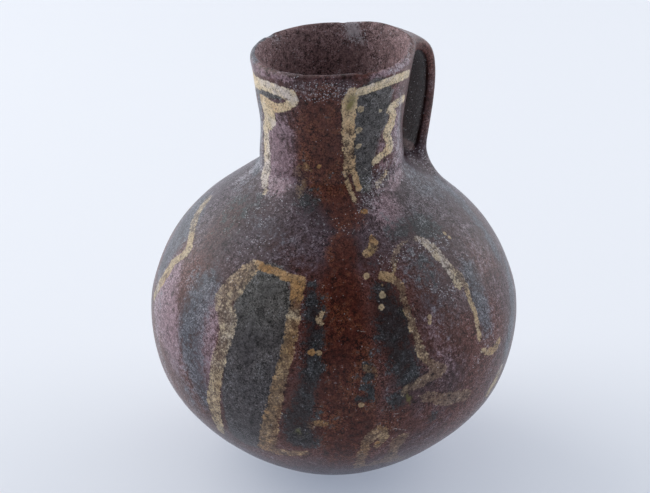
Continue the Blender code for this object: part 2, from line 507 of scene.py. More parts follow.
    def strap_loops(self, mesh: bmesh.types.BMesh, start: tuple, end: tuple) -> list[tuple]:
        """Rows of vertices along the strap.

        Args:
            mesh: The mesh that takes the vertices.
            start: The outer and inner row at the lip's window.
            end: The outer and inner row at the shoulder's window.

        Returns:
            An outer and an inner row for each station, both windows' rows included.
        """
        middles = []
        for rows in (start, end):
            centres = [row[len(row) // 2].co for row in rows]
            middles.append(Vector((centres[0].x + centres[1].x, centres[0].z + centres[1].z)) / 2)
        path = (middles[0], middles[0] + self.lip_arm, middles[1] + self.shoulder_arm, middles[1])
        half_width = self.strap_width / 2 / (1 - 1 / (6 * self.strap_half_columns))
        loops = [start]
        for section in range(1, self.strap_sections + 1):
            t = section / (self.strap_sections + 1)
            centre = bezier(*path, t)
            ahead = bezier(*path, t + 0.01) - bezier(*path, t - 0.01)
            outward = Vector((-ahead.y, ahead.x)).normalized()
            rows = ([], [])
            for column in range(-self.strap_half_columns, self.strap_half_columns + 1):
                share = column / self.strap_half_columns
                bow = self.strap_bow * (1 - 2 * share * share)
                for row, side in zip(rows, (0.5, -0.5)):
                    place = centre + outward * (side * self.strap_thickness + bow)
                    row.append(mesh.verts.new((place.x, share * half_width, place.y)))
            loops.append(rows)
        loops.append(end)
        return loops

    def skin_strap(self, mesh: bmesh.types.BMesh, loops: list[tuple]) -> None:
        """Adds the faces between each two loops of the strap."""
        for (outer, inner), (next_outer, next_inner) in zip(loops, loops[1:]):
            here = outer + inner[::-1]
            there = next_outer + next_inner[::-1]
            for k in range(len(here)):
                after = (k + 1) % len(here)
                mesh.faces.new((here[k], here[after], there[after], there[k]))

    def cage(self) -> bpy.types.Mesh:
        """The whole cage as one closed mesh."""
        outside, shoulder_window, top_window = self.outside_rings()
        foot = [Vector((share * self.foot_radius, 0)) for share in (0, 0.5, 1)]
        foot.append(Vector((self.foot_radius + self.foot_edge_width, 0)))
        floor = [Vector((self.foot_radius / 2, self.foot_wall)), Vector((0, self.foot_wall))]
        rings = foot + outside + self.inside_rings() + floor
        last = len(rings) - 1
        cage = self.solve_cage(rings, fixed={*range(len(foot)), last - 1, last})
        mesh, columns = self.turned_wall(cage)
        first = len(foot) - 1
        top_lower, top_upper = self.cut_window(mesh, columns, first + top_window)
        low_lower, low_upper = self.cut_window(mesh, columns, first + shoulder_window)
        self.skin_strap(mesh, self.strap_loops(mesh, (top_upper, top_lower), (low_lower, low_upper)))
        bmesh.ops.recalc_face_normals(mesh, faces=mesh.faces)
        data = bpy.data.meshes.new("jug_cage")
        mesh.to_mesh(data)
        mesh.free()
        return data


@dataclass(frozen=True)
class ClayWorking:
    """How unevenly the hand shaped the wall: the inputs of the tree that smooths and works the cage."""

    levels: int = 3
    swell_depth: float = 0.75 * MM
    swell_scale: float = 24.0
    facet_depth: float = 0.35 * MM
    facet_scale: float = 75.0
    grain_depth: float = 0.10 * MM
    grain_scale: float = 320.0
    flat_below: float = 0.5 * MM
    worked_above: float = 9.0 * MM
    seed: float = 7.0

    def numbers(self) -> dict[str, float]:
        """The sizes above by the names of the tree's inputs, such as Swell Depth."""
        return {item.name.replace("_", " ").title(): getattr(self, item.name) for item in fields(self)}

    def tree(self) -> bpy.types.NodeTree:
        """Builds the tree: smooth the cage, push its skin in and out, then finish the mesh."""
        tree = bpy.data.node_groups.new("clay_working", "GeometryNodeTree")
        kinds = {"Cage": "Geometry"}
        for name, number in self.numbers().items():
            kinds[name] = "Int" if isinstance(number, int) else "Float"
        kinds["Clay"] = "Material"
        for name, kind in kinds.items():
            tree.interface.new_socket(name=name, in_out="INPUT", socket_type=f"NodeSocket{kind}")
        tree.interface.new_socket(name="Jug", in_out="OUTPUT", socket_type="NodeSocketGeometry")
        nodes = Nodes(tree)
        given = nodes.add("NodeGroupInput")
        place = nodes.out(nodes.add("GeometryNodeInputPosition"))
        height = nodes.out(nodes.add("ShaderNodeSeparateXYZ", None, {0: place}), "Z")
        pushes = []
        for offset, name in enumerate(("Swell", "Facet", "Grain")):
            scale, seed = nodes.out(given, f"{name} Scale"), nodes.out(given, "Seed") + offset
            noise = nodes.noise(place, scale, detail=0.5, rough=0.5, seed=seed)
            pushes.append((noise - 0.5) * nodes.out(given, f"{name} Depth"))
        low, high = nodes.out(given, "Flat Below"), nodes.out(given, "Worked Above")
        free = ((height - low) / (high - low)).held()
        normal = nodes.out(nodes.add("GeometryNodeInputNormal"))
        cage = {"Mesh": nodes.out(given, "Cage"), "Level": nodes.out(given, "Levels")}
        smooth = nodes.out(nodes.add("GeometryNodeSubdivisionSurface", None, cage))
        push = {"Geometry": smooth, "Offset": nodes.scaled(normal, total(pushes) * free)}
        worked = nodes.out(nodes.add("GeometryNodeSetPosition", None, push))
        shaded = nodes.out(nodes.add("GeometryNodeSetShadeSmooth", None, {0: worked}))
        real = nodes.out(nodes.add("GeometryNodeRealizeInstances", None, {"Geometry": shaded}))
        dressing = {"Geometry": real, "Material": nodes.out(given, "Clay")}
        dressed = nodes.out(nodes.add("GeometryNodeSetMaterial", None, dressing))
        nodes.add("NodeGroupOutput", None, {"Jug": dressed})
        return tree

    def worked(self, cage: bpy.types.Mesh, clay: bpy.types.Material) -> bpy.types.Mesh:
        """Runs the tree on a cage.

        Args:
            cage: The coarse closed mesh.
            clay: The material of the finished skin.

        Returns:
            A plain mesh of the worked skin.
        """
        holder = bpy.data.objects.new("cage", cage)
        bpy.context.scene.collection.objects.link(holder)
        modifier = holder.modifiers.new("clay_working", "NODES")
        modifier.node_group = self.tree()
        values = {**self.numbers(), "Clay": clay}
        for item in modifier.node_group.interface.items_tree:
            if item.in_out == "INPUT" and item.name in values:
                modifier[item.identifier] = values[item.name]
        bpy.context.view_layer.update()
        finished = holder.evaluated_get(bpy.context.evaluated_depsgraph_get())
        skin = bpy.data.meshes.new_from_object(finished)
        holder.modifiers.clear()
        bpy.data.objects.remove(holder)
        return skin


# The lip


@dataclass(frozen=True)
class Chip:
    """A flake lost from the lip, its azimuth and how far its face tips inwards in degrees.

    Its width and depth are in millimetres.
    """

    azimuth: float
    width: float
    depth: float
    inward: float


# How far the lip's crest lies above its even run, in millimetres, by azimuth in degrees.
RIM_LEVELS = {
    -180: 0.0, -150: 0.2, -125: 0.3, -100: 0.0, -75: -0.5, -60: -0.4, -30: 0.0,
    0: 0.2, 27: 0.9, 58: 1.2, 88: 1.1, 125: 0.8, 150: 0.3,
}

CHIPS = (
    Chip(-109, 3.4, 0.9, 50),
    Chip(-104, 5.0, 1.9, 45),
    Chip(-99, 2.4, 0.8, 25),
    Chip(-95, 3.8, 1.5, 55),
    Chip(-91, 3.0, 2.0, 50),
    Chip(-85, 4.4, 1.3, 35),
    Chip(-79, 3.4, 1.7, 50),
    Chip(-74, 2.4, 0.6, 60),
    Chip(-69, 4.2, 1.5, 55),
    Chip(-62, 2.6, 0.7, 45),
    Chip(-52, 3.2, 0.6, 50),
    Chip(-128, 2.2, 0.35, 50),
    Chip(-146, 3.0, 0.4, 30),
    Chip(-166, 2.6, 0.4, 20),
    Chip(122, 5.0, 0.5, 0),
    Chip(111, 6.5, 1.0, -10),
    Chip(105, 2.4, 0.6, 30),
    Chip(84, 2.6, 0.3, 25),
    Chip(48, 3.4, 0.4, -20),
)


@dataclass(frozen=True)
class LipWear:
    """Raises and lowers the lip's crest as the real one runs, and flakes chips off it."""

    form: JugForm
    levels: dict[int, float]
    chips: tuple[Chip, ...]
    reach: float = 13 * MM
    strap_gap: float = 3 * MM
    strap_fade: float = 4 * MM

    def run(self, points: np.ndarray) -> np.ndarray:
        """The points with the lip's run added.

        Args:
            points: The skin's points, one to a row.

        Returns:
            The moved points.
        """
        azimuth = np.degrees(np.arctan2(points[:, 1], points[:, 0]))
        radius = np.hypot(points[:, 0], points[:, 1])
        rise = np.interp(azimuth, list(self.levels), list(self.levels.values()), period=360) * MM
        on_strap = smooth_step((radius - self.form.rim_radius - self.strap_gap) / self.strap_fade)
        moved = points.copy()
        moved[:, 2] += rise * self.form.rim_share(points[:, 2]) * (1 - on_strap)
        return moved

    def flake(self, points: np.ndarray, chip: Chip) -> None:
        """Cuts one chip's hollow face into the points, in place."""
        angle = math.radians(chip.azimuth)
        radial = np.array((math.cos(angle), math.sin(angle), 0.0))
        along = np.array((-math.sin(angle), math.cos(angle), 0.0))
        tip = math.radians(chip.inward)
        face = np.array((0.0, 0.0, 1.0)) * math.cos(tip) - radial * math.sin(tip)
        across = points @ along
        from_rim = points @ radial - self.form.rim_radius
        width, depth = chip.width * MM, chip.depth * MM
        lip = (from_rim > -self.reach) & (from_rim < self.strap_gap)
        lip &= (points[:, 2] > self.form.rim_height - self.reach) & (np.abs(across) < width / 2)
        if not lip.any():
            return
        level = points[lip] @ face
        share = 2 * across[lip] / width
        limit = level.max() - depth * np.sqrt(np.clip(1 - share**2, 0, 1))
        points[lip] -= np.outer(np.clip(level - limit, 0, None), face)

    def wear(self, skin: bpy.types.Mesh) -> None:
        """Moves the skin's lip and chips it."""
        points = np.zeros(len(skin.vertices) * 3)
        skin.vertices.foreach_get("co", points)
        points = self.run(points.reshape(-1, 3))
        for chip in self.chips:
            self.flake(points, chip)
        skin.vertices.foreach_set("co", points.ravel())
        skin.update()


# The painting


class Layer(Enum):
    """What is laid on the skin; each value names the vertex attribute that keeps it."""

    CREAM = "cream"
    PANEL = "panel"
    SOOT = "soot"
    MAUVE = "mauve"
    SLATE = "slate"
    EMBER = "ember"
    # Limy deposit, and painted highlights along the outline that the reference view sees.
    LIME = "lime"
    OLIVE = "olive"
    WORN = "worn"
    OCHRE = "ochre"
    HOLLOW = "hollow"
    INNER_STRAP = "inner_strap"


@dataclass(frozen=True)
class Line:
    """A painted line in the reference view.

    The points are (x, y, width) in pixels. Worn and ochre go from 0 to 1, and turns are angles in
    degrees about the jug's axis at which the line is painted again.
    """

    name: str
    points: tuple[tuple[float, float, float], ...]
    worn: float = 0.4
    ochre: float = 0.3
    turns: tuple[float, ...] = ()


@dataclass(frozen=True)
class Patch:
    """A soft patch in the reference view, a run of (x, y, width) with soft edges: stains, filled fields and
    painted highlights.
    """

    name: str
    points: tuple[tuple[float, float, float], ...]
    strength: float = 1.0
    turns: tuple[float, ...] = ()


FRONT_TURNS = (146.0, 268.0)
SIDE_TURNS = (150.0,)
NECK_TURNS = (160.0,)

CREAM_LINES = (
    Line("neck_left_upper_band", worn=0.22, ochre=0.2, points=(
        (248, 74, 5), (256, 79, 5), (266, 83.5, 5), (277, 87.5, 5), (288, 91, 5))),
    Line("neck_left_lower_band", worn=0.26, ochre=0.2, points=(
        (249, 80, 5), (257, 85, 5), (267, 89, 5), (279, 93, 6), (291, 96, 9))),
    Line("neck_left_loop", worn=0.12, ochre=0.3, points=(
        (292, 95, 9), (294, 100, 9), (288, 106, 9), (279, 108, 9), (271, 106, 9), (262, 99, 7))),
    Line("neck_left_drop", worn=0.2, ochre=0.1, points=(
        (264, 103, 8), (267, 109, 10), (269, 116, 11), (269, 123, 8))),
    Line("neck_left_tail", worn=0.4, ochre=0.0, points=(
        (265.5, 126, 6), (266.5, 143, 6.5), (267, 155, 6.5), (267, 167, 7), (265, 179, 7),
        (266, 192, 4.5))),
    Line("neck_right_band", worn=0.06, ochre=0.15, turns=NECK_TURNS, points=(
        (352, 94, 8), (366, 90, 8), (380, 85, 8), (396, 79, 8), (409, 73.5, 7))),
    Line("neck_right_stroke_top", worn=0.28, ochre=0.5, turns=NECK_TURNS, points=(
        (353, 93, 11), (350, 100, 14), (349, 108, 15), (348.5, 120, 13), (348.5, 128, 13))),
    Line("neck_right_stroke_foot", worn=0.48, ochre=0.6, turns=NECK_TURNS, points=(
        (348.5, 128, 13), (348.7, 145, 12), (349, 158, 12), (349.5, 168, 12))),
    Line("neck_right_left_strand", worn=0.45, ochre=0.5, turns=NECK_TURNS, points=(
        (346, 168, 5), (347, 179, 4.5), (350, 190, 4.5), (355, 201, 5))),
    Line("neck_right_right_strand", worn=0.35, ochre=0.55, turns=NECK_TURNS, points=(
        (353, 166, 6), (355, 176, 5.5), (359, 189, 5.5))),
    Line("neck_right_hook_top", worn=0.4, ochre=0.3, turns=NECK_TURNS, points=(
        (404, 98, 6), (397, 103, 6.5), (390, 108, 7))),
    Line("neck_right_hook", worn=0.34, ochre=0.2, turns=NECK_TURNS, points=(
        (391, 110, 7), (393, 117, 7), (390, 127, 7), (386, 133, 7), (389, 141, 7.5), (390, 148, 7))),
    Line("neck_right_hook_foot", worn=0.35, ochre=0.35, turns=NECK_TURNS, points=(
        (390, 147, 7), (385, 153, 6.5), (380, 157, 6.5), (374, 162, 6))),
    Line("neck_right_remnant", ((386, 172, 4), (381, 179, 4), (376, 187, 4)), worn=0.6, ochre=0.3),
    Line("far_left_line", worn=0.5, ochre=0.1, points=(
        (207, 200, 5.5), (202, 207, 5.5), (197.5, 213.5, 5.5), (194, 223, 5.5), (192, 232, 5.5))),
    Line("far_left_lower", worn=0.35, ochre=0.25, points=(
        (192, 232, 5.5), (190, 243, 5.5), (186, 253, 6), (174, 262, 6), (167, 273, 6), (159, 286, 5.5),
        (154.5, 296, 5))),
    Line("left_arch_top", worn=0.2, ochre=0.8, turns=FRONT_TURNS, points=(
        (250, 268, 8), (256.5, 264, 8), (263.5, 267, 8.5), (274.7, 271, 8.5), (287, 277, 8.5),
        (300, 280.5, 8.5))),
    Line("left_arch_right_leg_top", worn=0.42, ochre=0.85, turns=FRONT_TURNS, points=(
        (299, 282, 14), (297.5, 290, 14.5), (296.3, 298, 13))),
    Line("left_arch_right_leg_gap", worn=0.8, ochre=0.8, turns=FRONT_TURNS, points=(
        (296.2, 299, 11), (295.4, 306, 11))),
    Line("left_arch_right_leg_pale", worn=0.44, ochre=0.3, turns=FRONT_TURNS, points=(
        (295, 308, 12), (293.4, 316, 12.5))),
    Line("left_arch_right_leg", worn=0.54, ochre=0.75, turns=FRONT_TURNS, points=(
        (293, 318, 12.5), (291.6, 330, 14), (288.7, 345, 13.5), (284.5, 362, 13.5),
        (280.3, 379, 13.5))),
    Line("left_arch_right_foot", worn=0.6, ochre=0.75, turns=FRONT_TURNS, points=(
        (280.3, 379, 14), (276.8, 393, 15), (274, 407, 15), (270.5, 422, 16), (268.4, 436, 18),
        (266, 448, 17))),
    Line("left_arch_shoulder", worn=0.58, ochre=0.3, turns=FRONT_TURNS, points=(
        (252, 267, 12), (244, 275, 16), (236, 284, 20), (228, 295, 20))),
    Line("left_arch_shoulder_strand", worn=0.46, ochre=0.35, turns=FRONT_TURNS, points=(
        (254, 266.5, 5), (244, 272, 5), (234, 281, 5), (224, 293, 6))),
    Line("left_arch_left_leg", worn=0.58, ochre=0.2, turns=FRONT_TURNS, points=(
        (221, 297, 12), (223, 306, 17), (227, 316, 18), (227, 328, 16), (224, 341, 14), (220, 355, 13),
        (217, 369, 13))),
    Line("left_arch_left_foot", worn=0.46, ochre=0.4, turns=FRONT_TURNS, points=(
        (217, 369, 13), (215, 383, 13), (213.5, 396, 13), (214.4, 407, 12), (216.5, 418, 9),
        (221, 431, 5))),
    Line("under_arch_line", worn=0.6, ochre=0.8, points=(
        (268, 449, 7), (280, 452, 6), (294, 453.5, 5), (306, 453, 4))),
    Line("small_hook", worn=0.45, ochre=0.45, points=(
        (322, 314, 4), (318, 317, 5), (318.5, 321, 5.5), (322, 324, 5))),
    Line("ochre_mark_left", ((310, 426, 6), (316, 424, 6), (324, 424, 5)), worn=0.62, ochre=0.85),
    Line("right_arch_faint_rise", worn=0.76, ochre=0.3, turns=SIDE_TURNS, points=(
        (393, 262, 6), (397, 251, 5), (403, 243, 4), (412, 238, 4), (420, 239, 4))),
    Line("right_arch_top", worn=0.42, ochre=0.1, turns=SIDE_TURNS, points=(
        (418, 238, 4), (427, 244, 7), (434, 250, 9), (440, 257, 9))),
    Line("right_arch_outer_strand", worn=0.56, ochre=0.2, turns=SIDE_TURNS, points=(
        (440, 257, 7), (447, 264, 6), (455, 272, 6), (462, 279, 6), (466, 287, 5))),
    Line("right_arch_inner_strand", worn=0.42, ochre=0.05, turns=SIDE_TURNS, points=(
        (440, 257, 6), (446, 267, 5), (453, 276, 6), (459, 286, 6))),
    Line("right_arch_thin", worn=0.4, ochre=0.35, turns=SIDE_TURNS, points=(
        (465.8, 287, 4.5), (470, 299, 4), (474.6, 312, 4), (477.5, 325.5, 4), (480, 338, 4))),
    Line("right_arch_end", worn=0.3, ochre=0.3, turns=SIDE_TURNS, points=(
        (482, 351, 6), (489, 352, 7), (495, 348, 5), (499.5, 340, 3))),
    Line("blob", worn=0.15, ochre=0.7, turns=SIDE_TURNS, points=(
        (382, 276, 9), (388, 277, 10), (394, 279, 7))),
    Line("small_blob", ((393, 268, 6), (395, 267, 6)), worn=0.4, ochre=0.6, turns=SIDE_TURNS),
    Line("descending_faint", worn=0.66, ochre=0.6, turns=SIDE_TURNS, points=(
        (396, 281, 8), (402, 290, 7), (405, 302, 7), (408, 312, 7))),
    Line("descending_stroke", worn=0.6, ochre=0.5, turns=SIDE_TURNS, points=(
        (408.5, 312, 6), (412, 325, 7), (416, 337, 7.5), (421.8, 352, 8), (427, 361, 8))),
    Line("descending_turn", worn=0.74, ochre=0.55, turns=SIDE_TURNS, points=(
        (427, 361, 8), (434, 366, 9), (441, 368, 12), (440, 371, 11), (430, 377, 9), (418, 384, 9),
        (405, 390, 8))),
    Line("level_stroke_middle", ((436, 399, 8), (443, 400, 9)), worn=0.5, ochre=0.4, turns=SIDE_TURNS),
    Line("level_stroke", worn=0.76, ochre=0.6, turns=SIDE_TURNS, points=(
        (424, 397, 9), (434, 397, 11), (444, 399, 13), (456, 397, 11), (467, 395, 10))),
    Line("right_edge_streak", worn=0.35, ochre=0.1, points=(
        (501, 368, 4), (498, 375, 5), (493.6, 384, 6), (488, 393, 5))),
    Line("low_stroke", worn=0.66, ochre=0.7, turns=FRONT_TURNS, points=(
        (381, 430, 9), (374, 434, 9), (368, 440, 9), (364.5, 448, 9), (361.6, 458, 9), (359, 467, 9))),
    Line("low_blob", worn=0.5, ochre=0.7, turns=FRONT_TURNS, points=(
        (383, 431, 8), (386, 433, 7), (381, 441, 6.5), (377, 446, 6))),
    Line("low_right_stroke", worn=0.72, ochre=0.65, turns=FRONT_TURNS, points=(
        (402, 438, 7), (398, 441, 10), (394, 449, 9), (389, 458, 9))),
    Line("low_right_base", worn=0.76, ochre=0.6, turns=FRONT_TURNS, points=(
        (376, 463, 7), (388, 460, 8), (400, 459, 6))),
    Line("orange_patch", worn=0.5, ochre=0.9, points=(
        (372, 238, 7), (374, 245, 10), (369, 252, 8), (364, 256, 5))),
    Line("centre_mark", ((366, 368, 6), (372, 370, 7), (375, 374, 5)), worn=0.75, ochre=0.8),
    Line("neck_root_stain", ((298, 172, 9), (303, 182, 10), (299, 194, 8)), worn=0.95, ochre=1.0),
    Line("neck_root_speck_line", ((300, 168, 6), (306, 167, 7), (311, 169, 5)), worn=0.75, ochre=1.0),
)

DOTS = (
    Line("neck_dot_upper", ((360.6, 109.4, 7.5),), worn=0.2, ochre=0.3),
    Line("neck_dot_middle", ((359, 130.2, 7.5),), worn=0.2, ochre=0.3),
    Line("neck_dot_lower", ((358, 146.7, 6.5),), worn=0.2, ochre=0.3),
    Line("neck_dot_inner", ((380.6, 110.6, 4.5),), worn=0.4, ochre=0.1),
    Line("neck_root_orange", ((364.2, 211.2, 7),), worn=0.3, ochre=1.0),
    Line("neck_ochre_spot", ((318.8, 166.3, 5),), worn=0.4, ochre=1.0),
    Line("belly_orange_dot", ((311.2, 352.6, 7.5),), worn=0.3, ochre=1.0),
    Line("belly_dim_dot", ((319, 353, 6),), worn=0.6, ochre=0.7),
    Line("right_dot_a", ((366.5, 276, 7),), worn=0.3, ochre=0.5),
    Line("right_dot_b", ((382.4, 285.4, 3.5),), worn=0.3, ochre=0.6),
    Line("right_dot_c", ((382.9, 295, 7.5),), worn=0.2, ochre=0.35),
    Line("right_dot_d", ((381, 307, 6),), worn=0.3, ochre=0.4),
    Line("right_dot_e", ((429.4, 317, 5.5),), worn=0.2, ochre=0.5),
    Line("right_dot_f", ((429.4, 322, 5),), worn=0.2, ochre=0.5),
    Line("shoulder_dot_a", ((445, 233, 4.5),), worn=0.3, ochre=0.4),
    Line("shoulder_dot_b", ((449.6, 237.5, 4),), worn=0.3, ochre=0.4),
    Line("centre_dot", ((361.3, 405, 6),), worn=0.3, ochre=0.6),
    Line("low_orange_dot", ((377.7, 443, 6),), worn=0.3, ochre=1.0),
)

PATCHES = {
    Layer.PANEL: (
        Patch("left_arch_field", turns=FRONT_TURNS, points=(
            (266, 286, 42), (262, 305, 56), (258, 330, 60), (253, 360, 60), (249, 390, 58),
            (247, 415, 52), (246, 436, 38))),
        Patch("neck_field", turns=NECK_TURNS, points=(
            (375, 98, 36), (374, 112, 36), (369, 130, 28), (365, 150, 24), (363, 172, 20),
            (364, 186, 14))),
        Patch("neck_left_lens", ((254, 88, 6), (263, 92, 8), (272, 94.5, 7), (280, 97, 4))),
    ),
    Layer.SOOT: (
        Patch("ragged_band", turns=FRONT_TURNS, points=(
            (311, 288, 12), (312, 305, 16), (314, 325, 20), (312, 345, 20), (311, 370, 22),
            (304, 395, 26), (298, 420, 34), (300, 438, 36))),
        Patch("right_field", turns=SIDE_TURNS, points=(
            (384, 288, 22), (388, 304, 34), (393, 322, 40), (399, 345, 36), (404, 365, 30),
            (407, 380, 24))),
        Patch("above_right_field", strength=0.5, turns=SIDE_TURNS, points=(
            (362, 258, 16), (370, 264, 18), (380, 268, 16))),
        Patch("black_mark_a", ((364, 366, 6), (368, 367, 6))),
        Patch("black_mark_b", ((367, 376, 6), (371, 375, 7))),
        Patch("black_mark_c", ((358, 399, 6), (365, 400, 7))),
        Patch("black_mark_d", ((371, 385, 4), (371, 394, 6), (370, 401, 4))),
        Patch("black_mark_e", ((366, 386, 5), (361, 388, 5)), strength=0.8),
        Patch("upper_left_dark", strength=0.44, points=(
            (256, 206, 24), (238, 214, 36), (222, 240, 28), (208, 264, 20))),
        Patch("shoulder_dark", ((394, 232, 18), (418, 228, 26), (440, 232, 20)), strength=0.76),
        Patch("inside_right_dark", ((424, 262, 26), (432, 284, 26)), strength=0.4),
        Patch("neck_foot_left", ((300, 196, 22), (314, 208, 26), (326, 222, 20)), strength=0.58),
        Patch("round_spot", ((432, 417, 14),), strength=0.8),
        Patch("under_green_patch", ((398, 400, 18), (402, 396, 14)), strength=0.8),
    ),
    Layer.MAUVE: (
        Patch("neck_left", ((279, 132, 24), (279, 150, 26), (279, 178, 28))),
        # Painted highlight: paler colour along the far left outline, for the reflection of the bright
        # surroundings.
        Patch("far_left_edge_highlight", ((160, 276, 8), (157, 300, 9), (158, 330, 8))),
        Patch("far_left_band", ((170, 272, 20), (166, 300, 24), (168, 330, 22), (174, 360, 16))),
        Patch("left_band", strength=0.9, points=(
            (212, 298, 22), (206, 330, 26), (203, 355, 24), (208, 385, 18), (214, 400, 12))),
        Patch("shoulder_right", ((383, 196, 26), (390, 215, 30), (392, 228, 24)), strength=0.8),
        Patch("beside_arch_leg", strength=0.3, points=(
            (304, 292, 8), (300, 320, 9), (295, 350, 10), (290, 380, 11), (285, 408, 10))),
        Patch("right_of_arch", strength=0.32, points=(
            (460, 226, 24), (482, 262, 26), (494, 300, 26), (490, 322, 20))),
        Patch("right_middle", strength=0.48, points=(
            (434, 314, 22), (430, 335, 26), (445, 350, 30), (455, 375, 26))),
        Patch("neck_right_hook", ((385, 130, 9), (381, 146, 13), (384, 162, 14)), strength=0.55),
        Patch("neck_right", strength=0.75, points=(
            (397, 92, 8), (397, 116, 9), (395, 140, 13), (399, 160, 14))),
        Patch("neck_right_foot", ((400, 172, 14), (392, 186, 16)), strength=0.8),
        Patch("lip_left", ((251, 64, 8), (261, 71, 9), (275, 77, 9), (290, 80, 7)), strength=0.85),
        Patch("lip_right", ((372, 78, 7), (390, 71, 9), (407, 61, 10)), strength=0.9),
    ),
    Layer.SLATE: (
        Patch("far_left_shoulder", ((196, 206, 18), (184, 226, 26), (170, 250, 20), (160, 272, 12))),
        Patch("neck_root_left", strength=0.45, points=(
            (246, 182, 20), (250, 200, 30), (262, 222, 30), (280, 240, 26))),
        Patch("left_dark_band", strength=0.9, points=(
            (206, 288, 30), (194, 310, 30), (190, 340, 26), (196, 370, 20), (206, 400, 14))),
        Patch("shoulder_blue", ((404, 222, 26), (424, 226, 30), (444, 240, 20)), strength=0.45),
        Patch("inside_right_arch", ((424, 268, 40), (432, 292, 40), (440, 312, 22)), strength=0.5),
        Patch("beside_right_arch", ((470, 270, 16), (480, 300, 18), (486, 325, 14)), strength=0.8),
        Patch("neck_root_right", ((408, 164, 12), (416, 178, 22), (432, 188, 20)), strength=0.5),
        Patch("under_arch", ((246, 440, 24), (280, 446, 16)), strength=0.25),
        # Painted highlight: bluish grey along the far right outline, for a reflection of the surroundings.
        Patch("far_right_edge_highlight", strength=0.9, points=(
            (506, 262, 8), (512, 290, 10), (512, 322, 10), (506, 352, 9))),
        Patch("left_low_edge", ((176, 368, 14), (184, 388, 14), (196, 408, 12)), strength=0.5),
        Patch("right_between", ((444, 306, 24), (450, 336, 24)), strength=0.42),
        # Painted highlight: bluish grey along the right shoulder's outline, for a reflection of the
        # surroundings.
        Patch("right_shoulder_edge_highlight", strength=0.8, points=(
            (440, 182, 10), (462, 202, 12), (484, 230, 12), (498, 256, 10))),
        # Painted highlight: bluish grey along the neck's left outline, for a reflection of the
        # surroundings.
        Patch("neck_far_left_highlight", ((260, 96, 5), (260, 120, 5), (260, 150, 5), (256, 172, 8))),
        Patch("lip_far_left", ((262, 36, 6), (255, 43, 9), (253, 51, 10), (256, 62, 9))),
    ),
    Layer.EMBER: (
        Patch("neck_front", strength=0.9, points=(
            (322, 104, 44), (320, 132, 50), (322, 160, 54), (334, 190, 48), (344, 216, 40))),
        Patch("centre", points=(
            (344, 244, 30), (340, 270, 34), (340, 296, 46), (343, 340, 54), (346, 390, 62),
            (346, 430, 60), (346, 456, 44))),
        Patch("red_patch", ((350, 254, 22),)),
        Patch("upper_left_red", ((236, 212, 26), (222, 228, 30), (212, 246, 24)), strength=0.52),
        Patch("low_right_red", ((400, 410, 30), (385, 430, 30)), strength=0.6),
    ),
    # Limy deposit; the patches that run along the outline of the reference view are painted highlights,
    # reflections of the bright surroundings.
    Layer.LIME: (
        # Painted highlight along the far left outline.
        Patch("far_left_edge_highlight", strength=0.9, points=(
            (158, 284, 6), (155, 310, 6), (158, 340, 6), (166, 372, 6))),
        # Painted highlight along the neck's right outline.
        Patch("neck_right_edge_highlight", strength=1.1, points=(
            (401, 92, 4), (399.5, 112, 4), (398, 136, 5), (399, 156, 6))),
        Patch("under_rim", strength=0.75, points=(
            (296, 84, 10), (305, 91, 18), (320, 92, 18), (340, 90, 18), (352, 88, 10))),
        Patch("neck_root_left", strength=0.26, points=(
            (278, 184, 26), (272, 198, 26), (258, 212, 24), (246, 224, 16))),
        # Painted highlight along the lower left outline, a reflection of the pale floor.
        Patch("lower_left_edge_highlight", strength=0.95, points=(
            (167, 372, 6), (179, 398, 6), (200, 425, 6), (230, 447, 6), (268, 464, 6))),
        # Painted highlight along the lower right outline, a reflection of the pale floor.
        Patch("lower_right_edge_highlight", strength=0.9, points=(
            (500, 382, 6), (484, 410, 7), (462, 431, 8), (430, 450, 8), (396, 464, 6))),
        Patch("neck_left_foot", ((259, 164, 8), (251, 171, 8), (243, 177, 7)), strength=1.15),
        # Painted highlight along the neck's left outline.
        Patch("neck_left_edge_highlight", ((262, 112, 5), (262, 140, 5), (261, 168, 6)), strength=1.1),
        Patch("lip_right", ((388, 73, 6), (399, 68, 7), (408, 57, 6), (411, 43, 5)), strength=0.85),
        Patch("neck_right_specks", ((396, 130, 10), (397, 152, 16), (402, 172, 16)), strength=0.5),
        Patch("neck_root_front", ((300, 200, 20), (322, 220, 22), (352, 228, 22)), strength=0.16),
        Patch("left_arch_above", ((262, 246, 26), (252, 242, 20)), strength=0.2),
        Patch("neck_right_foot", ((376, 178, 18), (374, 192, 20), (364, 206, 18)), strength=0.8),
        Patch("right_arch_top", ((395, 262, 12), (386, 262, 10), (444, 240, 14)), strength=0.55),
        Patch("inside_right_arch", ((436, 290, 14), (448, 292, 14)), strength=0.6),
        Patch("right_low", ((480, 360, 18),), strength=0.5),
        Patch("back_rim", ((274, 38, 8), (278, 42, 9)), strength=0.9),
        Patch("mouth_far_side", ((352, 26, 18), (354, 34, 16), (362, 40, 10)), strength=1.45),
        Patch("strap_foot", ((412, 148, 14), (420, 160, 16)), strength=0.5),
    ),
    Layer.OLIVE: (
        Patch("arch_right_leg", strength=0.2, turns=FRONT_TURNS, points=(
            (290, 340, 14), (284, 365, 14), (279, 388, 14), (275, 404, 12))),
        Patch("beside_turn", ((407, 395, 7), (411, 401, 8)), strength=0.95),
        Patch("low_left", ((300, 434, 18),), strength=0.55),
        Patch("neck_stroke_top", ((352, 98, 9), (349, 108, 8)), strength=0.7),
        Patch("by_orange_patch", ((372, 250, 9),), strength=0.6),
        Patch("neck_foot", ((370, 188, 9),), strength=0.4),
        Patch("descending", ((398, 300, 8), (404, 320, 7)), strength=0.4),
    ),
}

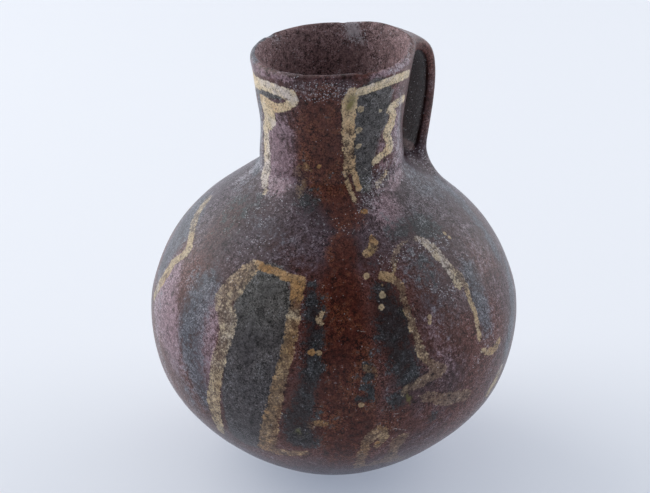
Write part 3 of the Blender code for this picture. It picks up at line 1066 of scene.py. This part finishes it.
SCRATCHES = (
    Line("neck_scratch_upper", ((359.5, 165, 0.7), (364, 167.5, 0.7))),
    Line("neck_scratch_lower", ((364, 167.5, 0.7), (369, 172.5, 0.6))),
    Line("neck_scratch_a", ((386.8, 162, 0.9), (387, 167, 0.9))),
    Line("neck_scratch_b", ((388.4, 172, 1.3), (388.6, 179, 1.3))),
    Line("neck_scratch_c", ((395, 158, 0.8), (395.4, 162, 0.8))),
    Line("centre_scratch", ((357, 330.5, 0.6), (365, 332, 0.6))),
    Line("low_scratch_a", ((394, 414, 0.5), (401, 413, 0.5))),
    Line("low_scratch_b", ((395, 428.5, 0.6), (406, 430, 0.6))),
    Line("right_scratch", ((413, 306, 0.6), (418, 318, 0.6))),
)


@dataclass
class Painter:
    """Casts lines of the reference view onto the skin and keeps what they cover on its vertices."""

    skin: bpy.types.Mesh
    view: ReferenceView
    axis_step: float = 1.0
    spline_step: float = 3.0
    margin: float = 12 * MM
    snap_reach: float = 5 * MM
    most_steps: int = 40
    least_shown: float = 0.45
    blur_share: float = 0.8
    most_blur: float = 6 * MM
    points: np.ndarray = field(init=False)
    tree: BVHTree = field(init=False)

    def __post_init__(self) -> None:
        """Reads the skin once."""
        flat = np.zeros(len(self.skin.vertices) * 3)
        self.skin.vertices.foreach_get("co", flat)
        self.points = flat.reshape(-1, 3)
        faces = [tuple(polygon.vertices) for polygon in self.skin.polygons]
        self.tree = BVHTree.FromPolygons([Vector(point) for point in self.points], faces)

    def cast(self, x: float, y: float) -> tuple[Vector, Vector]:
        """Where a pixel's ray meets the skin, stepping towards the axis where it misses.

        Args:
            x: Pixels from the frame's left edge.
            y: Pixels from the frame's upper edge.

        Returns:
            The place and the skin's normal there.
        """
        start = self.view.place()
        for _ in range(self.most_steps):
            place, normal, _, _ = self.tree.ray_cast(start, self.view.ray(x, y))
            if place is not None:
                return place, normal
            x += math.copysign(self.axis_step, self.view.axis_pixel - x)
        raise ValueError(f"the pixel row {y} misses the jug")

    def smoothed(self, line: Line | Patch) -> np.ndarray:
        """The line's points and widths along a smooth curve through them."""
        given = np.array(line.points, float)
        if len(given) == 1:
            return given
        padded = np.vstack((2 * given[0] - given[1], given, 2 * given[-1] - given[-2]))
        found = []
        for k in range(1, len(padded) - 2):
            before, here, there, after = padded[k - 1 : k + 3]
            steps = max(1, int(np.linalg.norm((there - here)[:2]) / self.spline_step))
            for t in np.arange(steps) / steps:
                bend = 2 * here + (there - before) * t
                bend = bend + (2 * before - 5 * here + 4 * there - after) * t**2
                found.append((bend + (3 * here - before - 3 * there + after) * t**3) / 2)
        found.append(given[-1])
        return np.array(found)

    def traced(self, line: Line | Patch) -> tuple[np.ndarray, np.ndarray]:
        """A line's places on the skin and its true half widths there.

        A width seen at a slant is wider on the skin, so it is stretched by how far the direction
        across the line turns away from the view.
        """
        pixels = self.smoothed(line)
        start = self.view.place()
        places, normals = zip(*(self.cast(x, y) for x, y, _ in pixels))
        halves = []
        for k, (place, normal) in enumerate(zip(places, normals)):
            sight = (place - start).normalized()
            flat_half = pixels[k][2] / 2 * (place - start).length / self.view.focal_pixels
            ahead = places[min(k + 1, len(places) - 1)] - places[max(k - 1, 0)]
            shown = 1.0
            if ahead.length > 0:
                across = normal.cross(ahead.normalized())
                seen = sight.cross(ahead).normalized()
                shown = abs(across.dot(seen))
            halves.append(flat_half / max(shown, self.least_shown))
        log.debug("%s: traced in %d places", line.name, len(places))
        return np.array([tuple(place) for place in places]), np.array(halves)

    def turned(self, places: np.ndarray, degrees: float) -> np.ndarray:
        """Places turned about the axis and set back on the outside of the wall."""
        turn = Matrix.Rotation(math.radians(degrees), 3, "Z")
        found = []
        for place in places:
            moved = turn @ Vector(place)
            outward = Vector((moved.x, moved.y, 0.0)).normalized()
            hit = self.tree.ray_cast(moved + outward * self.snap_reach, -outward)[0]
            found.append(tuple(hit if hit is not None else moved))
        return np.array(found)

    def runs(self, line: Line | Patch) -> list[tuple[np.ndarray, np.ndarray]]:
        """The line's own run over the skin and its turned copies."""
        places, halves = self.traced(line)
        return [(places, halves)] + [(self.turned(places, degrees), halves) for degrees in line.turns]

    def inside(self, places: np.ndarray, halves: np.ndarray) -> tuple[np.ndarray, np.ndarray]:
        """How far each vertex near a run lies inside its edge.

        Args:
            places: The run's places.
            halves: Its half widths.

        Returns:
            The numbers of the vertices near it, and their distances, negative outside.
        """
        reach = halves.max() + self.margin
        above, below = self.points > places.min(0) - reach, self.points < places.max(0) + reach
        near = np.flatnonzero(np.all(above & below, axis=1))
        spots = self.points[near]
        if len(places) == 1:
            return near, halves[0] - np.linalg.norm(spots - places[0], axis=1)
        best = np.full(len(near), -np.inf)
        for start, end, half, next_half in zip(places, places[1:], halves, halves[1:]):
            step = end - start
            share = np.clip((spots - start) @ step / max(step @ step, 1e-12), 0, 1)
            gap = np.linalg.norm(spots - start - share[:, None] * step, axis=1)
            best = np.maximum(best, half + (next_half - half) * share - gap)
        return near, best

    def keep(self, layer: Layer, values: np.ndarray) -> None:
        """Writes one layer's values to the skin's vertices."""
        attribute = self.skin.attributes.new(layer.value, "FLOAT", "POINT")
        attribute.data.foreach_set("value", values.astype(np.float32))

    def paint_lines(self, lines: tuple[Line, ...]) -> None:
        """Keeps the cream lines as millimetres inside their edges, with how worn and how ochre they are."""
        count = len(self.points)
        depth = np.full(count, -self.margin)
        worn, ochre = np.zeros(count), np.zeros(count)
        for line in lines:
            for places, halves in self.runs(line):
                near, found = self.inside(places, halves)
                better = found > depth[near]
                chosen = near[better]
                depth[chosen] = found[better]
                worn[chosen] = line.worn
                ochre[chosen] = line.ochre
        self.keep(Layer.CREAM, depth / MM)
        self.keep(Layer.WORN, worn)
        self.keep(Layer.OCHRE, ochre)

    def stain(self, layer: Layer, patches: tuple[Patch, ...]) -> None:
        """Keeps a layer's soft patches as weights, 1 in their middle and 0 outside."""
        weights = np.zeros(len(self.points))
        for patch in patches:
            for places, halves in self.runs(patch):
                near, found = self.inside(places, halves)
                blur = min(self.blur_share * halves.max(), self.most_blur)
                weight = patch.strength * smooth_step(found / blur / 2 + 0.5)
                weights[near] = np.maximum(weights[near], weight)
        self.keep(layer, weights)

    def facing_in(self, form: JugForm) -> tuple[np.ndarray, np.ndarray]:
        """Which of the skin faces the jug's axis.

        Args:
            form: The jug's sizes.

        Returns:
            Weights of the inner wall and floor, and of the strap's inner face.
        """
        normals = np.zeros(len(self.skin.vertices) * 3)
        self.skin.vertices.foreach_get("normal", normals)
        normals = normals.reshape(-1, 3)
        height = self.points[:, 2]
        radius = np.hypot(self.points[:, 0], self.points[:, 1])
        radial = self.points[:, :2] / np.maximum(radius, 1e-6)[:, None]
        inwards = smooth_step((-np.sum(radial * normals[:, :2], axis=1) - 0.1) / 0.5)
        inwards = inwards * (height > form.foot_wall - MM)
        strap = (radius > form.rim_radius + 3 * MM) & (height > form.shoulder_top - 12 * MM)
        floor = (normals[:, 2] > 0.3) & (height < form.belly_height / 2)
        return np.where(floor, 1.0, inwards * ~strap), inwards * strap


# The clay


NOISES = {
    "grain": {"scale": 1150, "detail": 4.0, "rough": 0.7, "seed": 1.0},
    "fleck": {"scale": 2200, "detail": 2.0, "rough": 0.6, "seed": 2.0},
    "mottle": {"scale": 330, "detail": 4.0, "rough": 0.62, "seed": 3.0},
    "cloud": {"scale": 75, "detail": 4.0, "rough": 0.6, "seed": 4.0},
    "drift": {"scale": 28, "detail": 3.0, "rough": 0.5, "seed": 5.0},
    "crumb": {"scale": 620, "detail": 2.0, "rough": 0.6, "seed": 7.0},
}
STREAK = {"scale": 420, "detail": 4.0, "rough": 0.62, "seed": 6.0}


@dataclass(frozen=True)
class Texture:
    """What all the layers of the clay share: where they are read, noises, and the kept layers."""

    place: Value
    height: Value
    noises: dict[str, Value]
    kept: dict[Layer, Value]

    def blend(self, **weights: float) -> Value:
        """A weighted sum of noises, each around one half."""
        return total([self.noises[name] * weight for name, weight in weights.items()])

    def swing(self, **weights: float) -> Value:
        """A weighted sum of noises, each moved to lie around zero."""
        return total([(self.noises[name] - 0.5) * weight for name, weight in weights.items()])

    def laid(self, **weights: float) -> Value:
        """A weighted sum of kept layers."""
        return total([self.kept[Layer(name)] * weight for name, weight in weights.items()])


@dataclass(frozen=True)
class ClayFinish:
    """Colours and grain of the slip, the paint and what burial left on them."""

    deep_red: tuple = (0.062, 0.0118, 0.0062, 1.0)
    rust: tuple = (0.132, 0.042, 0.014, 1.0)
    red_brown: tuple = (0.094, 0.030, 0.023, 1.0)
    maroon: tuple = (0.066, 0.031, 0.034, 1.0)
    near_black: tuple = (0.015, 0.009, 0.010, 1.0)
    soot: tuple = (0.017, 0.014, 0.016, 1.0)
    soot_blue: tuple = (0.020, 0.025, 0.028, 1.0)
    mauve: tuple = (0.235, 0.152, 0.176, 1.0)
    slate: tuple = (0.062, 0.070, 0.087, 1.0)
    panel: tuple = (0.052, 0.050, 0.054, 1.0)
    panel_pale: tuple = (0.084, 0.083, 0.077, 1.0)
    dusty: tuple = (0.058, 0.041, 0.054, 1.0)
    dust: tuple = (0.36, 0.33, 0.37, 1.0)
    chalk: tuple = (0.68, 0.59, 0.53, 1.0)
    cream: tuple = (0.74, 0.64, 0.45, 1.0)
    ochre: tuple = (0.54, 0.295, 0.115, 1.0)
    thin_cream: tuple = (0.185, 0.142, 0.110, 1.0)
    thin_ochre: tuple = (0.185, 0.106, 0.048, 1.0)
    olive: tuple = (0.13, 0.12, 0.022, 1.0)
    lime: tuple = (0.52, 0.50, 0.54, 1.0)
    hollow: tuple = (0.215, 0.138, 0.139, 1.0)
    bare_clay: tuple = (0.20, 0.115, 0.075, 1.0)
    scratch: tuple = (0.40, 0.35, 0.33, 1.0)
    sheen_tint: tuple = (0.84, 0.88, 1.0, 1.0)
    specular: float = 0.12
    sheen: float = 0.17
    sheen_roughness: float = 0.22
    polish: float = 0.44
    polish_ground: float = 0.175
    polish_roughness: float = 0.34
    bump_strength: float = 0.9
    bump_depth: float = 0.30 * MM
    belly_reach: float = 0.080
    foot_wear_height: float = 2.2 * MM
    speck_sizes: tuple = ((1600.0, 1.0, 0.44), (800.0, 0.34, 0.38), (420.0, 0.16, 0.34))
    pit_scale: float = 260.0

    def material(self, dots: list, scratches: list) -> bpy.types.Material:
        """Builds the clay.

        Args:
            dots: Painted dots as (centre, radius, ochre).
            scratches: Scratches as (start, end, half width).

        Returns:
            The material.
        """
        material = bpy.data.materials.new("painted_slip")
        material.use_nodes = True
        material.node_tree.nodes.clear()
        nodes = Nodes(material.node_tree)
        clay = self.texture(nodes)

        colour = self.weathered(nodes, clay, self.ground(nodes, clay))
        colour, paint = self.painting(nodes, clay, colour, dots)
        # Whitish specks and film: partly a limy deposit, partly painted glints and painted highlights along
        # the outline.
        colour, crust = self.crust(nodes, clay, colour)
        scratch = self.scratched(nodes, clay, scratches)
        colour = nodes.mix(scratch * 0.8, colour, self.scratch)
        pits = self.pits(nodes, clay)
        colour = nodes.mix(pits * 0.8, colour, self.near_black)

        height = clay.blend(grain=0.80, mottle=0.50, streak=0.15, crumb=0.45)
        height = height + paint * 0.14 + crust * 0.35 - scratch * 0.2 - pits * 1.4
        relief = {"Strength": self.bump_strength, "Distance": self.bump_depth, "Height": height}
        rough = 0.37 + clay.swing(mottle=0.30, cloud=0.25, streak=0.15)
        rough = rough + paint * 0.20 + crust * 0.35 + clay.laid(hollow=0.30)
        matt = paint * 0.05 + crust * 0.10
        polished = (clay.blend(grain=0.45, fleck=0.30, mottle=0.25) - matt).rise(0.46, 0.60)
        polished = polished * self.polish + self.polish_ground
        dull = clay.laid(hollow=0.75, inner_strap=0.9, ember=0.25)
        sockets = {
            "Base Color": colour,
            "Roughness": rough.held(0.22, 0.92),
            "Metallic": 0.0,
            "Specular IOR Level": self.specular,
            "Coat Weight": polished * (1.0 - dull).larger(0.0),
            "Coat Roughness": self.polish_roughness,
            "Sheen Weight": self.sheen,
            "Sheen Roughness": self.sheen_roughness,
            "Sheen Tint": self.sheen_tint,
            "Normal": nodes.out(nodes.add("ShaderNodeBump", None, relief)),
        }
        shader = nodes.out(nodes.add("ShaderNodeBsdfPrincipled", None, sockets))
        nodes.add("ShaderNodeOutputMaterial", None, {"Surface": shader})
        return material

    def texture(self, nodes: Nodes) -> Texture:
        """The shared noises; the streaks run up and down the jug, as it was burnished."""
        place = nodes.out(nodes.add("ShaderNodeTexCoord"), "Object")
        parts = nodes.add("ShaderNodeSeparateXYZ", None, {0: place})
        x, y, z = (nodes.out(parts, axis) for axis in "XYZ")
        radius = ((x * x + y * y) ** 0.5).larger(2 * MM)
        around = [axis * self.belly_reach / radius for axis in (x, y)]
        drawn_out = nodes.add("ShaderNodeCombineXYZ", None, {0: around[0], 1: around[1], 2: z * 0.10})
        noises = {name: nodes.noise(place, **numbers) for name, numbers in NOISES.items()}
        noises["streak"] = nodes.noise(nodes.out(drawn_out), **STREAK)
        kept = {}
        for layer in Layer:
            settings = {"attribute_type": "GEOMETRY", "attribute_name": layer.value}
            kept[layer] = nodes.out(nodes.add("ShaderNodeAttribute", settings), "Fac")
        return Texture(place, z, noises, kept)

    def ground(self, nodes: Nodes, clay: Texture) -> Value:
        """The burnished slip, its stains, the dark painted fields, and painted shade on the strap's inner
        face.
        """
        height, strap = clay.height, clay.kept[Layer.INNER_STRAP]
        ragged = clay.swing(cloud=1.2, mottle=1.3, grain=0.9, crumb=0.9, streak=0.35)
        warm = (clay.noises["drift"] + clay.swing(mottle=0.6)).rise(0.42, 0.62)
        colour = nodes.mix(warm, self.red_brown, self.maroon)
        shoulder = height.rise(0.096, 0.126) - height.rise(0.137, 0.150)
        near_foot = 1.0 - height.rise(0.006, 0.030)
        dusty = (shoulder.larger(near_foot * 0.7) + ragged * 0.9).rise(0.2, 1.1)
        colour = nodes.mix(dusty * 0.8, colour, self.dusty)
        glow = clay.blend(mottle=0.55, cloud=0.45).rise(0.47, 0.62)
        on_neck = height.rise(0.105, 0.145)
        fired = nodes.mix(on_neck * 0.7, self.deep_red, self.red_brown)
        fired = nodes.mix((glow + on_neck * 0.15).smaller(1.0) * 0.75, fired, self.rust)
        burnt = clay.blend(mottle=0.5, cloud=0.2, crumb=0.3).rise(0.53, 0.60)
        fired = nodes.mix(burnt * (0.55 + on_neck * 0.2), fired, self.near_black)
        pale = height.rise(0.070, 0.112) - height.rise(0.130, 0.150) * 0.55
        panel = nodes.mix((pale + clay.swing(cloud=1.6)).held(), self.panel, self.panel_pale)
        blue = clay.blend(cloud=0.6, mottle=0.4).rise(0.46, 0.60)
        soot = nodes.mix(blue, self.soot, self.soot_blue)
        # Each layer of stains and highlights, how much its edge frays, where it starts and is full, its
        # share and tint.
        stains = (
            (Layer.EMBER, 0.8, 0.25, 0.85, 0.94, fired),
            (Layer.MAUVE, 0.8, 0.25, 0.95, 0.88, self.mauve),
            (Layer.SLATE, 1.0, 0.25, 0.95, 0.88, self.slate),
            (Layer.PANEL, 0.45, 0.32, 0.64, 0.90, panel),
            (Layer.SOOT, 1.5, 0.36, 0.80, 0.92, soot),
        )
        # The mauve and slate layers carry painted highlights along parts of the outline as well as stains.
        for layer, fray, start, full, share, tint in stains:
            stain = (clay.kept[layer] + ragged * fray).rise(start, full)
            colour = nodes.mix(stain * share, colour, tint)
        colour = nodes.mix(clay.kept[Layer.HOLLOW], colour, self.hollow)
        # Painted shade: the strap's inner face, in the narrow gap beside the neck, is darkened towards near
        # black.
        strap_shade = ((strap * 0.9 + ragged * 1.6) * strap).rise(0.2, 0.9)
        colour = nodes.mix(strap_shade * 0.80, colour, self.near_black)
        bared = (0.5 + (self.foot_wear_height - height) * 350 + ragged * 0.8).rise(0.25, 0.75)
        return nodes.mix(bared * 0.85, colour, self.bare_clay)

    def painting(self, nodes: Nodes, clay: Texture, colour: Value, dots: list) -> tuple[Value, Value]:
        """Lays the worn cream and ochre lines and the dots on the ground colour."""
        kept, worn = clay.kept, clay.kept[Layer.WORN]
        frayed = clay.swing(grain=1.8, mottle=3.0) * (0.45 + worn * 1.8)
        edge = (kept[Layer.CREAM] + frayed).rise(-0.25, 0.45)
        coat = clay.blend(grain=0.38, mottle=0.34, fleck=0.10, crumb=0.18)
        thick = (coat + 0.13 - worn * 0.33).rise(0.42, 0.52)
        cover = (coat + 0.16 - worn * 0.24).rise(0.39, 0.50)
        pitted = clay.blend(grain=0.45, fleck=0.35, crumb=0.20) - clay.swing(cloud=0.10)
        pitted = pitted.rise(0.41, 0.48)
        ochre = (kept[Layer.OCHRE] + clay.swing(cloud=1.6)).held()
        tint = nodes.mix((ochre * 5.0).smaller(1.0), self.chalk, self.cream)
        tint = nodes.mix(ochre, tint, self.ochre)
        tint = nodes.mix(kept[Layer.OLIVE] * 0.7, tint, self.olive)
        bright = 0.60 + clay.height.rise(0.125, 0.150) * 0.34
        tint = nodes.scaled(tint, bright + clay.swing(mottle=1.1, grain=1.5, fleck=1.1))
        thin = nodes.mix(ochre, self.thin_cream, self.thin_ochre)
        thin = nodes.scaled(thin, clay.blend(mottle=1.8, grain=2.2, fleck=1.0) - 1.5)
        colour = nodes.mix(edge * cover * (0.98 - worn * 0.48), colour, thin)
        paint = edge * thick * (0.18 + pitted * 0.82)
        colour = nodes.mix(paint * 0.90, colour, tint)
        dot_edge = clay.swing(mottle=1.8, crumb=1.6)
        dot_coat = (0.40 + pitted * 0.60) * coat.rise(0.30, 0.42)
        dot_grain = clay.swing(grain=1.4, mottle=1.2)
        for centre, radius, dot_ochre in dots:
            inside = (radius - nodes.pair("DISTANCE", clay.place, centre)) / MM + dot_edge
            dot = inside.rise(-0.20, 0.40) * dot_coat
            shade = 0.72 - inside.rise(0.3, 1.2) * 0.16 + dot_grain
            dab = nodes.scaled(nodes.mix(dot_ochre, self.cream, self.ochre), shade)
            colour = nodes.mix(dot * 0.85, colour, dab)
            paint = paint.larger(dot)
        green = (kept[Layer.OLIVE] + clay.swing(mottle=1.6, grain=0.8)).rise(0.35, 0.9)
        return nodes.mix(green * 0.7, colour, self.olive), paint

    def weathered(self, nodes: Nodes, clay: Texture, colour: Value) -> Value:
        """Grains the whole surface finely, darker and lighter, with a thin pale dust on the open parts."""
        fine = clay.swing(grain=4.0, fleck=3.4) * (0.56 + clay.noises["cloud"].rise(0.40, 0.62) * 0.94)
        fine = fine + clay.swing(crumb=1.6, streak=0.8, mottle=2.6, cloud=0.9)
        calm = 1.0 - clay.laid(hollow=0.10, slate=0.30, mauve=0.15)
        colour = nodes.scaled(colour, (1.0 + fine * calm * 1.12).larger(0.12))
        dusting = clay.blend(grain=0.42, fleck=0.36, crumb=0.22) + clay.swing(cloud=0.30, mottle=0.22)
        sheltered = clay.laid(ember=0.080, panel=0.04, soot=0.03, inner_strap=0.12)
        open_part = clay.laid(slate=0.020, mauve=0.02, hollow=0.01)
        dusting = (dusting - sheltered + open_part).rise(0.53, 0.65)
        return nodes.mix(dusting * 0.40, colour, self.dust)

    def crust(self, nodes: Nodes, clay: Texture, colour: Value) -> tuple[Value, Value]:
        """Lays whitish specks, thick in places and sparse elsewhere, and a pale film: partly a limy
        deposit, partly painted glints on the rough skin and painted highlights along the outline.
        """
        chance = clay.laid(lime=0.60, inner_strap=0.07, hollow=0.07)
        chance = chance + 0.03 + clay.swing(cloud=0.16, mottle=0.30)
        uneven = clay.swing(grain=0.9)
        specks = []
        for scale, spread, size in self.speck_sizes:
            distance, pick = nodes.cells(clay.place, scale, 0)
            chosen = (chance * spread - pick).rise(-0.02, 0.08)
            specks.append((size + uneven - distance).rise(0.0, 0.18) * chosen)
        film = clay.kept[Layer.LIME] + clay.swing(mottle=2.2, grain=2.6)
        amount = (largest(specks) * 0.85).larger(film.rise(0.6, 1.6) * 0.55)
        return nodes.mix(amount, colour, self.lime), amount

    def pits(self, nodes: Nodes, clay: Texture) -> Value:
        """Small open pits, few and far between."""
        distance, pick = nodes.cells(clay.place, self.pit_scale, 1)
        return (0.15 + clay.swing(grain=0.2) - distance).rise(0.0, 0.06) * pick.rise(0.88, 0.92)

    def scratched(self, nodes: Nodes, clay: Texture, scratches: list) -> Value:
        """Fine pale scratches, each a broken thin line between two points of the skin."""
        broken = clay.swing(grain=1.6, mottle=1.2)
        lines = []
        for start, end, half in scratches:
            step = end - start
            from_start = nodes.pair("SUBTRACT", clay.place, start)
            share = nodes.pair("DOT_PRODUCT", from_start, step / step.length_squared).held()
            gap = nodes.pair("DISTANCE", from_start, nodes.scaled(step, share))
            lines.append(((half - gap) / MM + broken).rise(-0.10, 0.20))
        return largest(lines)


@dataclass
class PaintedJug:
    """The whole jug: form, worked clay, chipped lip, painting and finish."""

    view: ReferenceView
    form: JugForm = field(default_factory=JugForm)
    working: ClayWorking = ClayWorking()
    finish: ClayFinish = ClayFinish()

    def build(self) -> bpy.types.Object:
        """Builds the jug and links it to the scene."""
        blank = bpy.data.materials.new("unfired")
        skin = self.working.worked(self.form.cage(), blank)
        LipWear(self.form, RIM_LEVELS, CHIPS).wear(skin)
        painter = Painter(skin, self.view)
        painter.paint_lines(CREAM_LINES)
        for layer, patches in PATCHES.items():
            painter.stain(layer, patches)
        for layer, weights in zip((Layer.HOLLOW, Layer.INNER_STRAP), painter.facing_in(self.form)):
            painter.keep(layer, weights)
        dots = []
        for line in DOTS:
            places, halves = painter.traced(line)
            dots.append((Vector(places[0]), float(halves[0]), line.ochre))
        scratches = []
        for line in SCRATCHES:
            places, halves = painter.traced(line)
            scratches.append((Vector(places[0]), Vector(places[-1]), float(halves[0])))
        skin.materials.clear()
        skin.materials.append(self.finish.material(dots, scratches))
        skin.name = "painted_jug"
        jug = bpy.data.objects.new("painted_jug", skin)
        bpy.context.scene.collection.objects.link(jug)
        log.info("painted_jug: %d vertices, %d faces", len(skin.vertices), len(skin.polygons))
        return jug


# The studio


@dataclass(frozen=True)
class Softbox:
    """A square soft light: its side in metres, its power in watts, and where it stands.

    The degrees go to the right from straight behind the jug, seen from the camera.
    """

    name: str
    degrees: float
    distance: float
    height: float
    size: float
    power: float


SOFTBOXES = (
    Softbox("left_softbox", degrees=-70, distance=1.5, height=1.05, size=2.0, power=25.0),
    Softbox("right_softbox", degrees=68, distance=1.5, height=0.95, size=1.8, power=12.0),
    Softbox("top_softbox", degrees=-20, distance=0.5, height=1.7, size=1.4, power=3.5),
)


@dataclass(frozen=True)
class Studio:
    """A pale floor under soft light from all round, with the side that the view is from kept darker."""

    view: ReferenceView
    floor_size: float = 8.0
    floor_colour: tuple = (0.541, 0.531, 0.516, 1.0)
    floor_glow: tuple = (0.785, 0.905, 1.147, 1.0)
    glow_strength: float = 0.312
    bright: tuple = (0.88, 0.925, 1.0, 1.0)
    bright_strength: float = 1.05
    zenith_strength: float = 0.48
    left_strength: float = 0.55
    right_strength: float = 0.30
    dim_strength: float = 0.18
    aim_height: float = 0.09

    def add_floor(self) -> None:
        """Adds the floor."""
        bpy.ops.mesh.primitive_plane_add(size=self.floor_size)
        floor = bpy.context.active_object
        floor.name = "studio_floor"
        material = bpy.data.materials.new("pale_paper")
        material.use_nodes = True
        shader = material.node_tree.nodes["Principled BSDF"]
        values = {
            "Base Color": self.floor_colour,
            "Roughness": 0.7,
            "Specular IOR Level": 0.2,
            "Emission Color": self.floor_glow,
            "Emission Strength": self.glow_strength,
        }
        for name, value in values.items():
            shader.inputs[name].default_value = value
        floor.data.materials.append(material)

    def add_surroundings(self) -> None:
        """Lights the scene from all round, less from behind the camera."""
        world = bpy.data.worlds.new("studio")
        bpy.context.scene.world = world
        world.use_nodes = True
        world.node_tree.nodes.clear()
        nodes = Nodes(world.node_tree)
        direction = nodes.out(nodes.add("ShaderNodeTexCoord"), "Generated")
        towards = self.view.place().normalized()
        shade = nodes.pair("DOT_PRODUCT", direction, towards).rise(0.15, 0.85)
        up = nodes.out(nodes.add("ShaderNodeSeparateXYZ", None, {0: direction}), "Z").rise(0.10, 0.85)
        across = towards.cross(Vector((0.0, 0.0, 1.0))).normalized()
        side = nodes.pair("DOT_PRODUCT", direction, across)
        left, right = side.rise(0.2, 1.0), (side * -1.0).rise(0.2, 1.0)
        sky = self.bright_strength + up * (self.zenith_strength - self.bright_strength)
        sky = sky + left * self.left_strength + right * self.right_strength
        strength = sky + shade * (self.dim_strength - sky)
        light = nodes.add("ShaderNodeBackground", None, {"Color": self.bright, "Strength": strength})
        nodes.add("ShaderNodeOutputWorld", None, {"Surface": nodes.out(light)})

    def add_lamp(self, box: Softbox) -> None:
        """Adds a softbox that faces the jug's middle."""
        data = bpy.data.lights.new(box.name, "AREA")
        data.shape = "SQUARE"
        data.size = box.size
        data.energy = box.power
        lamp = bpy.data.objects.new(box.name, data)
        away = Vector((math.sin(self.view.azimuth), math.cos(self.view.azimuth), 0.0))
        away.rotate(Euler((0.0, 0.0, -math.radians(box.degrees))))
        lamp.location = away * box.distance + Vector((0.0, 0.0, box.height))
        aim = Vector((0.0, 0.0, self.aim_height)) - lamp.location
        lamp.rotation_euler = aim.to_track_quat("-Z", "Y").to_euler()
        bpy.context.scene.collection.objects.link(lamp)

    def build(self) -> None:
        """Builds floor, surroundings and lamps."""
        self.add_floor()
        self.add_surroundings()
        for box in SOFTBOXES:
            self.add_lamp(box)
        bpy.context.scene.view_settings.view_transform = "Standard"


def main() -> None:
    """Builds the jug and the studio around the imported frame."""
    logging.basicConfig(level=logging.INFO, format="%(name)s: %(message)s")
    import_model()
    view = ReferenceView()
    view.add_camera()
    jug = PaintedJug(view).build()
    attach(jug, "root")
    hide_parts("jug")
    Studio(view).build()


if __name__ == "__main__":
    main()
